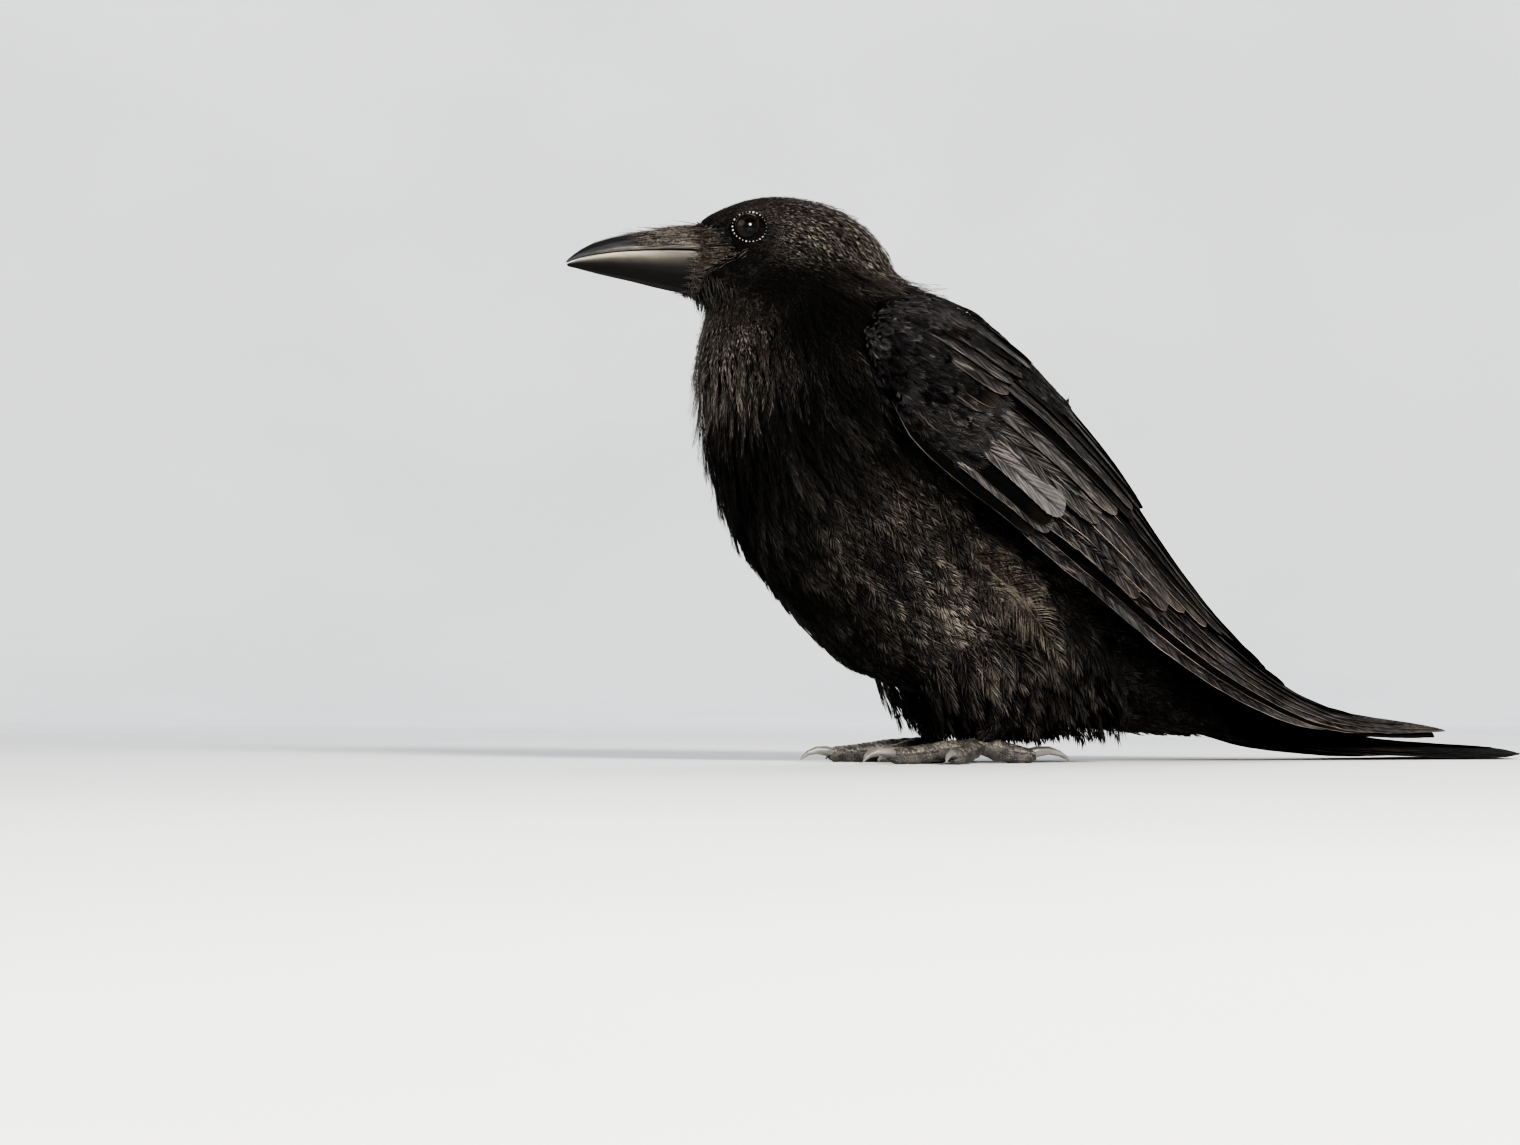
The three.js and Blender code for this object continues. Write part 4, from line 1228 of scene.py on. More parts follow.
def newGroup(kind, name, inputs, outputs):
    tree = bpy.data.node_groups.new(name, kind)
    for label, socketKind, value in inputs:
        socket = tree.interface.new_socket(label, in_out="INPUT", socket_type="NodeSocket" + socketKind)
        if value is not None:
            socket.default_value = value
    for label in outputs:
        socketKind = "Geometry" if label == "Geometry" else "Float"
        tree.interface.new_socket(label, in_out="OUTPUT", socket_type="NodeSocket" + socketKind)
    return tree, tree.nodes.new("NodeGroupInput").outputs, tree.nodes.new("NodeGroupOutput").inputs


def grown(base, tree, values):
    # runs a tree on a mesh and returns the plain mesh it makes
    holder = addObject("holder", base)
    modifier = holder.modifiers.new("grow", "NODES")
    modifier.node_group = tree
    names = {item.name: item.identifier for item in tree.interface.items_tree if item.in_out == "INPUT"}
    for label, value in values.items():
        modifier[names[label]] = value
    made = bpy.data.meshes.new_from_object(holder.evaluated_get(bpy.context.evaluated_depsgraph_get()))
    holder.modifiers.remove(modifier)
    bpy.data.objects.remove(holder)
    made.shade_smooth()
    return made


def wireMesh(points, closed):
    steps = len(points) if closed else len(points) - 1
    wire = bpy.data.meshes.new("wire")
    edges = [(step, (step + 1) % len(points)) for step in range(steps)]
    wire.from_pydata([tuple(point) for point in points], edges, [])
    return wire


def pointsAlong(tree, given):
    wire = addNode(tree, "GeometryNodeMeshToCurve", {"Mesh": given["Geometry"]})
    return addNode(tree, "GeometryNodeCurveToPoints", {"Curve": wire.outputs[0], "Length": given["Spacing"]},
                   mode="LENGTH").outputs


def turnTo(tree, inputs, **settings):
    return addNode(tree, "FunctionNodeAlignRotationToVector", inputs, **settings).outputs[0]


def randomBetween(tree, low, high, seed):
    return addNode(tree, "FunctionNodeRandomValue", {2: low, 3: high, "Seed": seed},
                   data_type="FLOAT").outputs[1]


def paintInstances(tree, inputs, given, out):
    # instances made real and painted, as a tree's last nodes
    placed = addNode(tree, "GeometryNodeInstanceOnPoints", inputs)
    real = addNode(tree, "GeometryNodeRealizeInstances", {"Geometry": placed.outputs[0]})
    painted = addNode(tree, "GeometryNodeSetMaterial",
                      {"Geometry": real.outputs[0], "Material": given["Material"]})
    tree.links.new(painted.outputs[0], out[0])


bristleSegments = 5
bristleSides = 4
bristlePoints = bristleSides * (bristleSegments + 1)


def bristleTree():
    # tapered bristles that stand on a patch of skin and lean along its "lie" attribute
    tree, given, out = newGroup("GeometryNodeTree", "bristles", [
        ("Geometry", "Geometry", None),
        ("Density", "Float", 1e6),
        ("Length", "Float", 0.014),
        ("Radius", "Float", 0.0002),
        ("Bend", "Float", 0.1),
        ("Lift", "Float", 0.15),
        ("Stray", "Float", 0.1),
        ("Seed", "Int", 1),
        ("Material", "Material", None),
    ], ["Geometry"])
    scatter = addNode(tree, "GeometryNodeDistributePointsOnFaces",
                      {"Mesh": given["Geometry"], "Density": given["Density"], "Seed": given["Seed"]}).outputs
    lie = addNode(tree, "GeometryNodeInputNamedAttribute", {"Name": "lie"}, data_type="FLOAT_VECTOR")
    lifted = vectorSum(tree, "SCALE", scatter["Normal"], given["Lift"])
    stray = addNode(tree, "FunctionNodeRandomValue", {0: (-1, -1, -1), "Seed": given["Seed"]},
                    data_type="FLOAT_VECTOR")
    strayed = vectorSum(tree, "SCALE", stray.outputs[0], given["Stray"])
    aim = vectorSum(tree, "ADD", vectorSum(tree, "ADD", lie.outputs[0], lifted), strayed)
    turn = turnTo(tree, {"Vector": aim}, axis="Z")
    facing = turnTo(tree, {"Rotation": turn, "Vector": scatter["Normal"]}, axis="X", pivot_axis="Z")
    cone = addNode(tree, "GeometryNodeMeshCone", {
        "Vertices": bristleSides,
        "Side Segments": bristleSegments,
        "Radius Top": 0.00003,
        "Radius Bottom": given["Radius"],
        "Depth": given["Length"],
    })
    apart = addNode(tree, "ShaderNodeSeparateXYZ", {0: addNode(tree, "GeometryNodeInputPosition").outputs[0]})
    share = sumUp(tree, "DIVIDE", apart.outputs["Z"], given["Length"])
    amount = sumUp(tree, "MULTIPLY", given["Bend"], given["Length"])
    drop = sumUp(tree, "MULTIPLY", sumUp(tree, "MULTIPLY", share, share), amount)
    move = addNode(tree, "ShaderNodeCombineXYZ", {0: sumUp(tree, "MULTIPLY", drop, -1.0)})
    bent = addNode(tree, "GeometryNodeSetPosition",
                   {"Geometry": cone.outputs["Mesh"], "Offset": move.outputs[0]})
    paintInstances(tree, {
        "Points": scatter["Points"],
        "Instance": bent.outputs["Geometry"],
        "Rotation": facing,
        "Scale": randomBetween(tree, 0.55, 1.15, given["Seed"]),
    }, given, out)
    return tree


def beadTree():
    # small uneven beads along the edges of a wire
    tree, given, out = newGroup("GeometryNodeTree", "beads", [
        ("Geometry", "Geometry", None),
        ("Spacing", "Float", 0.0007),
        ("Radius", "Float", 0.0003),
        ("Uneven", "Float", 0.4),
        ("Seed", "Int", 1),
        ("Material", "Material", None),
    ], ["Geometry"])
    bead = addNode(tree, "GeometryNodeMeshIcoSphere", {"Radius": given["Radius"], "Subdivisions": 2})
    low = sumUp(tree, "SUBTRACT", 1.0, given["Uneven"])
    high = sumUp(tree, "ADD", 1.0, given["Uneven"])
    turn = addNode(tree, "FunctionNodeRandomValue", {1: (6.2, 6.2, 6.2), "Seed": given["Seed"]},
                   data_type="FLOAT_VECTOR")
    paintInstances(tree, {
        "Points": pointsAlong(tree, given)[0],
        "Instance": bead.outputs["Mesh"],
        "Scale": randomBetween(tree, low, high, given["Seed"]),
        "Rotation": turn.outputs[0],
    }, given, out)
    return tree


def scuteTree():
    # overlapping plates along a wire; the wire's "girth" attribute is the toe's radius there
    tree, given, out = newGroup("GeometryNodeTree", "scutes", [
        ("Geometry", "Geometry", None),
        ("Spacing", "Float", 0.002),
        ("Overlap", "Float", 1.25),
        ("Material", "Material", None),
        ("Plate", "Object", None),
    ], ["Geometry"])
    points = pointsAlong(tree, given)
    girth = addNode(tree, "GeometryNodeInputNamedAttribute", {"Name": "girth"}, data_type="FLOAT").outputs[0]
    ahead = turnTo(tree, {"Vector": points["Tangent"]}, axis="X")
    upright = turnTo(tree, {"Rotation": ahead, "Vector": (0.0, 0.0, 1.0)}, axis="Z", pivot_axis="X")
    plate = addNode(tree, "GeometryNodeObjectInfo", {"Object": given["Plate"]})
    length = sumUp(tree, "MULTIPLY", given["Spacing"], given["Overlap"])
    paintInstances(tree, {
        "Points": points["Points"],
        "Instance": plate.outputs["Geometry"],
        "Rotation": upright,
        "Scale": addNode(tree, "ShaderNodeCombineXYZ", {0: length, 1: girth, 2: girth}).outputs[0],
    }, given, out)
    return tree


billPlan = {"voxel": 0.32 * mm, "rounds": 12, "slices": 40}


def billHalf(name, plan):
    # "tone" red runs from the cutting edge, 0, to the ridge or keel, 1, and green from the tip to the base
    mesh = roundedCopy([name], plan["voxel"], plan["rounds"])
    points, _, _ = arraysOf(mesh)
    x, z = points[:, 0], points[:, 2]
    share = (x - x.min()) / np.ptp(x)
    bins = np.minimum((share * plan["slices"]).astype(int), plan["slices"] - 1)
    middles = (np.arange(plan["slices"]) + 0.5) / plan["slices"]
    low = np.interp(share, middles, [z[bins == index].min() for index in range(plan["slices"])])
    high = np.interp(share, middles, [z[bins == index].max() for index in range(plan["slices"])])
    height = np.clip((z - low) / np.maximum(high - low, 0.3 * mm), 0.0, 1.0)
    tones = np.ones((len(points), 4))
    tones[:, 0] = height if name == "bill_upper" else 1.0 - height
    tones[:, 1] = share
    addLayer(mesh, "tone", "FLOAT_COLOR", "color", tones)
    return mesh


def makeBill(plan, materials):
    halves = [billHalf(name, plan) for name in materials]
    for mesh, (name, material) in zip(halves, materials.items()):
        addPiece(name + "_horn", mesh, material, [name])
    print("crow: bill")
    return [surfaceOf(*arraysOf(mesh)) for mesh in halves]


bristlePlan = {
    # name: density a square metre, length and root radius in mm, bend, lift, stray, seed
    "nasal_bristles": (1.15e6, 13.0, 0.20, 0.05, 0.07, 0.055, 5),
    "lore_bristles_high": (1.7e6, 7.0, 0.19, 0.08, 0.10, 0.13, 12),
    "lore_bristles_low": (1.7e6, 5.0, 0.19, 0.08, 0.10, 0.13, 12),
    "gape_bristles_upper": (1.0e6, 6.0, 0.16, 0.10, 0.14, 0.16, 8),
    "gape_bristles_lower": (1.4e6, 6.0, 0.16, 0.10, 0.14, 0.16, 8),
    "gape_feathers": (0.9e6, 3.0, 0.13, 0.10, 0.35, 0.22, 15),
    "chin_hairs": (0.80e6, 7.5, 0.20, -0.05, 0.45, 0.22, 3),
    "beard_front": (1.5e6, 2.6, 0.24, -0.08, 0.15, 0.25, 19),
    "beard_back": (1.5e6, 6.5, 0.24, -0.08, 0.15, 0.25, 19),
}


def patchOf(surface, keep, lieOf, name):
    # the triangles of a surface that a test keeps, each corner with the lie of its bristles
    centres = surface["points"][surface["triangles"]].mean(axis=1)
    normals = unit(surface["normals"][surface["triangles"]].mean(axis=1))
    used, places = np.unique(surface["triangles"][keep(centres, normals)], return_inverse=True)
    mesh = arrayMesh(name, surface["points"][used], places.reshape(-1, 3))
    addLayer(mesh, "lie", "FLOAT_VECTOR", "vector", lieOf(surface["normals"][used]))
    return mesh


def addBakeMap(mesh):
    # each bristle a small patch at its root's place on the skin's map
    points, _, _ = arraysOf(mesh)
    along, angle, _ = alongSpine(points.reshape(-1, bristlePoints, 3)[:, 0])
    patch = np.linspace(0, patchSize, bristlePoints)[None, :, None] * np.array((0.4, 1.0))[None, None, :]
    values = (bakePlace(along, angle)[:, None, :] + patch).reshape(-1, 2).astype(np.float32)
    corners = np.empty(len(mesh.loops), np.int32)
    mesh.loops.foreach_get("vertex_index", corners)
    layer = mesh.uv_layers.get("OFBake") or mesh.uv_layers.new(name="OFBake")
    layer.uv.foreach_set("vector", values[corners].ravel())


def makeBristles(plan, upper, lower, skin, brown, dark, pale):
    tree = bristleTree()
    low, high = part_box("bill_upper")
    chinLow, gape = (corner.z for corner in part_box("bill_lower"))

    def shareOf(centres):
        return (centres[:, 0] - low.x) / (high.x - low.x)

    hanging = evenly(unit(np.array((0.40, 0.0, -1.0))))
    downForward = evenly(unit(np.array((-1.0, 0.0, -0.45))))

    def forward(normals):
        # along the bill to its tip, close to the skin
        lie = np.array((-1.0, 0.03, -0.02))
        return unit(lie - normals * (lie * normals).sum(axis=1, keepdims=True) * 0.9)

    def nasal(centres, normals):
        share = shareOf(centres)
        height = (centres[:, 2] - gape) / (high.z - gape)
        side = normals[:, 2] < 0.93  # the ridge of the bill stays bare
        return (share > 0.60) & (share < 0.97) & (normals[:, 0] < 0.1) & (height > 0.16) & side

    def gapeCorner(centres, normals):
        share = shareOf(centres)
        return (share > 0.84) & (share < 0.99) & (np.abs(normals[:, 1]) > 0.35) & (normals[:, 0] < 0.3)

    def chin(centres, normals):
        along, angle, _ = alongSpine(centres)
        return (along < 0.03) & (np.abs(angle) > 2.3) & (centres[:, 2] > chinLow - 4.0 * mm)

    def wedge(centres):
        # heights over and under the two edges of the brown wedge that points back from the gape
        back = centres[:, 0] - high.x
        over = centres[:, 2] - (gape - 4.0 * mm + 0.57 * back)
        under = gape + 3.0 * mm - 1.4 * back - centres[:, 2]
        return back, over, under

    def highLores(centres, normals):
        back, _, under = wedge(centres)
        beside = (np.abs(normals[:, 1]) > 0.45) & (centres[:, 2] < high.z - 2.5 * mm)  # none on the forehead
        return (back < 2.0 * mm) & (under < 0) & (normals[:, 0] > -0.75) & beside

    def lowLores(centres, normals):
        back, over, under = wedge(centres)
        return (back < 4.5 * mm) & (over > 0) & (under >= 0) & (normals[:, 0] > -0.75)

    def besideGape(centres, normals):
        back, over, _ = wedge(centres)
        return (back < 6.5 * mm) & (np.abs(over) < 1.2 * mm) & (np.abs(normals[:, 1]) > 0.3)

    def underBase(start, end):
        def keep(centres, normals):
            share = shareOf(centres)
            return (share > start) & (share < end) & (normals[:, 2] < -0.25)
        return keep

    sets = {
        "nasal_bristles": (upper, nasal, forward, brown),
        "lore_bristles_high": (skin, highLores, forward, dark),
        "lore_bristles_low": (skin, lowLores, forward, brown),
        "gape_bristles_upper": (upper, gapeCorner, forward, brown),
        "gape_bristles_lower": (lower, gapeCorner, forward, brown),
        "gape_feathers": (skin, besideGape, downForward, pale),
        "chin_hairs": (skin, chin, hanging, dark),
        "beard_front": (lower, underBase(0.79, 0.90), hanging, dark),
        "beard_back": (lower, underBase(0.88, 1.00), hanging, dark),
    }
    for name, (surface, keep, lieOf, material) in sets.items():
        density, length, radius, bend, lift, stray, seed = plan[name]
        made = grown(patchOf(surface, keep, lieOf, name), tree, {
            "Density": density,
            "Length": length * mm,
            "Radius": radius * mm,
            "Bend": bend,
            "Lift": lift,
            "Stray": stray,
            "Seed": seed,
            "Material": material,
        })
        addBakeMap(made)
        print("crow:", name, len(made.vertices) // bristlePoints, "bristles")
        addPiece(name, made, material)


eyePlan = {
    "rings": 30, "spokes": 56, "inset": 0.15 * mm,
    "cornea": 0.30 * mm, "corneaEdge": 40.0,  # degrees from the eye's axis
    "sunk": 1.3 * mm, "sunkFrom": 50.0, "sunkOver": 20.0,  # behind the lids the ball lies under the skin
    "lidVoxel": 0.16 * mm, "lidRounds": 4, "behind": 1.2 * mm,
    "ringSteps": 72, "ringLift": 0.85 * mm, "ringInset": (0.35 * mm, 0.1 * mm),
    "beads": {"Spacing": 1.30 * mm, "Radius": 0.27 * mm, "Uneven": 0.6},
    "seeds": {"left": 4, "right": 5},
}


def eyeballMesh(name, plan):
    low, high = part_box("eye_" + name)
    centre = middleOf("eye_" + name)
    radius = 0.5 * (high.z - low.z)
    axis = unit(middleOf("lid_" + name) - centre)
    rightward = unit(np.cross(axis, (0.0, 0.0, 1.0)))
    upward = np.cross(rightward, axis)
    shape = bmesh.new()
    layer = shape.verts.layers.float_color.new("tone")
    rings = []
    for ring in range(plan["rings"] + 1):
        turn = math.pi * ring / plan["rings"]
        bulge = plan["cornea"] * max(0.0, 1 - (math.degrees(turn) / plan["corneaEdge"]) ** 2)
        sunk = plan["sunk"] * min(1.0, max(0.0, (math.degrees(turn) - plan["sunkFrom"]) / plan["sunkOver"]))
        reach = radius - plan["inset"] + bulge - sunk
        row = []
        for spoke in range(1 if ring in (0, plan["rings"]) else plan["spokes"]):
            around = 2 * math.pi * spoke / plan["spokes"]
            across = rightward * math.cos(around) + upward * math.sin(around)
            vert = shape.verts.new(centre + reach * (axis * math.cos(turn) + across * math.sin(turn)))
            vert[layer] = (turn / math.pi * 2, spoke / plan["spokes"], 0.0, 1.0)
            row.append(vert)
        rings.append(row)
    bridgeRings(shape, rings)
    bmesh.ops.recalc_face_normals(shape, faces=shape.faces)
    return smoothMesh("eyeball", shape), centre, radius, axis, rightward, upward


def makeEyes(plan, eyeMaterial, lidMaterial, beadMaterial):
    tree = beadTree()
    for name in sides:
        ball, centre, radius, axis, rightward, upward = eyeballMesh(name, plan)
        addPiece("eyeball_" + name, ball, eyeMaterial, ["eye_" + name])
        low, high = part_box("lid_" + name)
        lid = roundedCopy(["lid_" + name], plan["lidVoxel"], plan["lidRounds"])
        points, _, _ = arraysOf(lid)
        behind = np.clip((points[:, 0] - centre[0]) / (0.5 * (high.x - low.x)), 0.0, 1.0)[:, None]
        setPoints(lid, points + plan["behind"] * behind * axis)
        addPiece("eyelid_" + name, lid, lidMaterial, ["lid_" + name])
        halfLength = 0.5 * math.hypot(high.x - low.x, high.y - low.y) - plan["ringInset"][0]
        halfHeight = 0.5 * (high.z - low.z) - plan["ringInset"][1]
        ring = []
        for step in range(plan["ringSteps"]):
            turn = 2 * math.pi * step / plan["ringSteps"]
            across = rightward * halfLength * math.cos(turn) + upward * halfHeight * math.sin(turn)
            lift = math.sqrt(max((radius + plan["ringLift"]) ** 2 - np.linalg.norm(across) ** 2, 0.0))
            lift = lift + plan["behind"] * max(0.0, across[0] / halfLength)
            ring.append(centre + across + axis * lift)
        sizes = {**plan["beads"], "Seed": plan["seeds"][name], "Material": beadMaterial}
        addPiece("eye_beads_" + name, grown(wireMesh(ring, True), tree, sizes), beadMaterial)
    print("crow: eyes")


footPlan = {
    "voxel": 0.45 * mm, "rounds": 12, "swell": 0.35 * mm, "knobs": 0.32 * mm, "knobSize": 2.1 * mm,
    "dome": 1.7 * mm, "domeOver": 0.8 * mm,
    "clawSwell": 0.55 * mm, "clawVoxel": 0.24 * mm, "clawRounds": 8,
    "slices": 14, "ends": (0.06, 0.94),  # the first and last slice, as shares of a toe's length
    "scutes": {"Spacing": 1.9 * mm, "Overlap": 1.35},
}
platePlan = {
    "rows": ((-0.5, 0.97), (-0.4, 1.05), (0.1, 1.12), (0.42, 1.10), (0.5, 0.98)),  # along and lift
    "halfTurn": 78, "steps": 8, "bow": 0.10, "inner": 0.8,
}


def axisOf(name, plan):
    # centres and radii of a node's cross-sections along its longest direction
    solid = cadCopy(name)
    points = np.array([vert.co[:] for vert in solid.verts])
    solid.free()
    corners = triangleCorners(name)
    offsets = points - points.mean(axis=0)
    axis = np.linalg.eigh(offsets.T @ offsets)[1][:, -1]
    reach = points @ axis
    centres, radii = [], []
    for share in np.linspace(*plan["ends"], plan["slices"]):
        cut = cutAt(corners, axis, reach.min() + np.ptp(reach) * share)
        middle = 0.5 * (cut.min(axis=0) + cut.max(axis=0))
        centres.append(middle)
        radii.append(np.linalg.norm(cut - middle, axis=1).mean())
    return np.array(centres), np.array(radii)


def scutePlate(plan):
    # one plate, bent over the top of a toe of radius one, a unit long
    last = plan["steps"]
    shape = bmesh.new()
    rings = []
    for along, lift in plan["rows"]:
        row = []
        for step in range(last + 1):
            turn = math.radians(-plan["halfTurn"] + 2 * plan["halfTurn"] * step / last)
            bow = plan["bow"] * abs(step - last // 2) / (last // 2)
            reach = lift * (1 - bow * (lift > 1))
            row.append(shape.verts.new((along - bow, reach * math.sin(turn), reach * math.cos(turn))))
        rings.append(row)
    for first, second in zip(rings, rings[1:]):
        for a in range(last):
            shape.faces.new((first[a], second[a], second[a + 1], first[a + 1]))
    inner = plan["inner"]
    front, back = (
        [shape.verts.new((vert.co.x, vert.co.y * inner, vert.co.z * inner)) for vert in row]
        for row in (rings[0], rings[-1])
    )
    for a in range(last):
        shape.faces.new((rings[0][a], rings[0][a + 1], front[a + 1], front[a]))
        shape.faces.new((rings[-1][a + 1], rings[-1][a], back[a], back[a + 1]))
        shape.faces.new((front[a], front[a + 1], back[a + 1], back[a]))
    for a in (0, last):
        shape.faces.new([row[a] for row in rings] + [back[a], front[a]])
    bmesh.ops.recalc_face_normals(shape, faces=shape.faces)
    return bpy.data.objects.new("plate", smoothMesh("plate", shape))


def swell(mesh, amount):
    points, _, normals = arraysOf(mesh)
    points = points + normals * amount
    points[:, 2] = np.maximum(points[:, 2], 0.02 * mm)
    setPoints(mesh, points)


def domeToe(mesh, toe, claw, plan):
    # rounds a toe's blunt end over the base of its claw
    centres, radii = axisOf(toe, plan)
    target = middleOf(claw)
    if np.linalg.norm(centres[0] - target) < np.linalg.norm(centres[-1] - target):
        centres, radii = centres[::-1], radii[::-1]
    ahead = unit(centres[-1] - centres[-4])
    points, _, _ = arraysOf(mesh)
    offsets = points - centres[-1]
    forward = offsets @ ahead
    away = np.linalg.norm(offsets - forward[:, None] * ahead, axis=1)
    share = np.clip(1.1 - (away / radii[-1]) ** 2, 0.0, 1.0) * np.clip(forward / plan["domeOver"], 0.0, 1.0)
    share = share * (np.linalg.norm(offsets, axis=1) < 2.0 * radii[-1])
    setPoints(mesh, points + ahead * (plan["dome"] * share)[:, None])


def makeFeet(plan, skinMaterial, scuteMaterial, clawMaterial):
    tree = scuteTree()
    plate = scutePlate(platePlan)
    for name in sides:
        tarsus = "tarsus_" + name
        toes = [f"toe_{name}_{toe}" for toe in range(1, 5)]
        claws = [f"claw_{name}_{toe}" for toe in range(1, 5)]
        # one skin over shank and toes, so that no joint shows a gap
        foot = roundedCopy([tarsus, *toes], plan["voxel"], plan["rounds"])
        swell(foot, plan["swell"])
        swell(foot, plan["knobs"] * swirl(arraysOf(foot)[0], plan["knobSize"])[:, None])
        for toe, claw in zip(toes, claws):
            domeToe(foot, toe, claw, plan)
        addPiece("foot_skin_" + name, foot, skinMaterial, [tarsus, *toes])
        for toe in toes:
            centres, radii = axisOf(toe, plan)
            if centres[0][0] < centres[-1][0]:
                centres, radii = centres[::-1], radii[::-1]
            wire = wireMesh(centres, False)
            addLayer(wire, "girth", "FLOAT", "value", radii + plan["swell"])
            scutes = grown(wire, tree, {**plan["scutes"], "Plate": plate, "Material": scuteMaterial})
            addPiece(toe.replace("toe", "toe_scutes"), scutes, scuteMaterial)
        for claw in claws:
            horn = roundedCopy([claw], plan["clawVoxel"], plan["clawRounds"])
            away = np.linalg.norm(arraysOf(horn)[0] - middleOf(tarsus), axis=1)
            swell(horn, plan["clawSwell"] * (away.max() - away)[:, None] / np.ptp(away))
            addPiece(claw.replace("claw", "claw_horn"), horn, clawMaterial, [claw])
    bpy.data.objects.remove(plate)
    print("crow: feet")


def barbGroup():
    # fine slanting barbs on a vane: a height and a streak mask
    tree, given, out = newGroup("ShaderNodeTree", "barbs", [
        ("Vane", "Vector", None),
        ("Fineness", "Float", 60.0),
        ("Slant", "Float", 1.2),
        ("Chance", "Float", 0.5),
    ], ["Height", "Streak", "Line"])
    apart = addNode(tree, "ShaderNodeSeparateXYZ", {0: given["Vane"]}).outputs
    away = sumUp(tree, "ABSOLUTE", apart[0])
    slanted = sumUp(tree, "SUBTRACT", apart[1], sumUp(tree, "MULTIPLY", away, given["Slant"]))
    shift = sumUp(tree, "MULTIPLY_ADD", given["Chance"], 37.0, sumUp(tree, "SIGN", apart[0]))

    def placeAt(x, y):
        return addNode(tree, "ShaderNodeCombineXYZ", {0: x, 1: y, 2: shift}).outputs[0]

    place = placeAt(sumUp(tree, "MULTIPLY", slanted, given["Fineness"]), sumUp(tree, "MULTIPLY", away, 4.0))
    fine = noiseOn(tree, place, 1.0, 3.0, 0.7)
    coarse = noiseOn(tree, place, 0.23, 1.0)
    tree.links.new(sumUp(tree, "ADD", fine, sumUp(tree, "MULTIPLY", coarse, 0.8)), out["Height"])
    tree.links.new(spread(tree, fine, 0.42, 0.70), out["Streak"])
    # thin lines along the vane, where its barbs have parted
    lengthwise = placeAt(sumUp(tree, "MULTIPLY", apart[0], 26.0), sumUp(tree, "MULTIPLY", apart[1], 1.7))
    tree.links.new(spread(tree, noiseOn(tree, lengthwise, 1.0, 2.0), 0.58, 0.70), out["Line"])
    return tree


def wearGroup():
    # how worn and bleached a vane is: most at its edge and tip, uneven from feather to feather
    tree, given, out = newGroup("ShaderNodeTree", "feather_wear", [
        ("Edge", "Float", 0.0),
        ("Along", "Float", 0.0),
        ("Chance", "Float", 0.5),
        ("Place", "Vector", None),
        ("Start", "Float", 0.7),
        ("Tip", "Float", 0.5),
    ], ["Worn"])
    blotch = noiseOn(tree, given["Place"], 45.0, 3.0)
    edge = addNode(tree, "ShaderNodeMapRange", {0: given["Edge"], 1: given["Start"], 2: 1.0})
    tip = addNode(tree, "ShaderNodeMapRange", {0: given["Along"], 1: 0.82, 2: 1.0})
    most = sumUp(tree, "MAXIMUM", edge.outputs[0], sumUp(tree, "MULTIPLY", tip.outputs[0], given["Tip"]))
    uneven = spread(tree, blotch, 0.36, 0.66, 0.15, 1.0)
    own = sumUp(tree, "MULTIPLY_ADD", given["Chance"], 0.8, 0.3)
    worn = sumUp(tree, "MULTIPLY", sumUp(tree, "MULTIPLY", most, uneven), own, clamp=True)
    tree.links.new(worn, out["Worn"])
    return tree


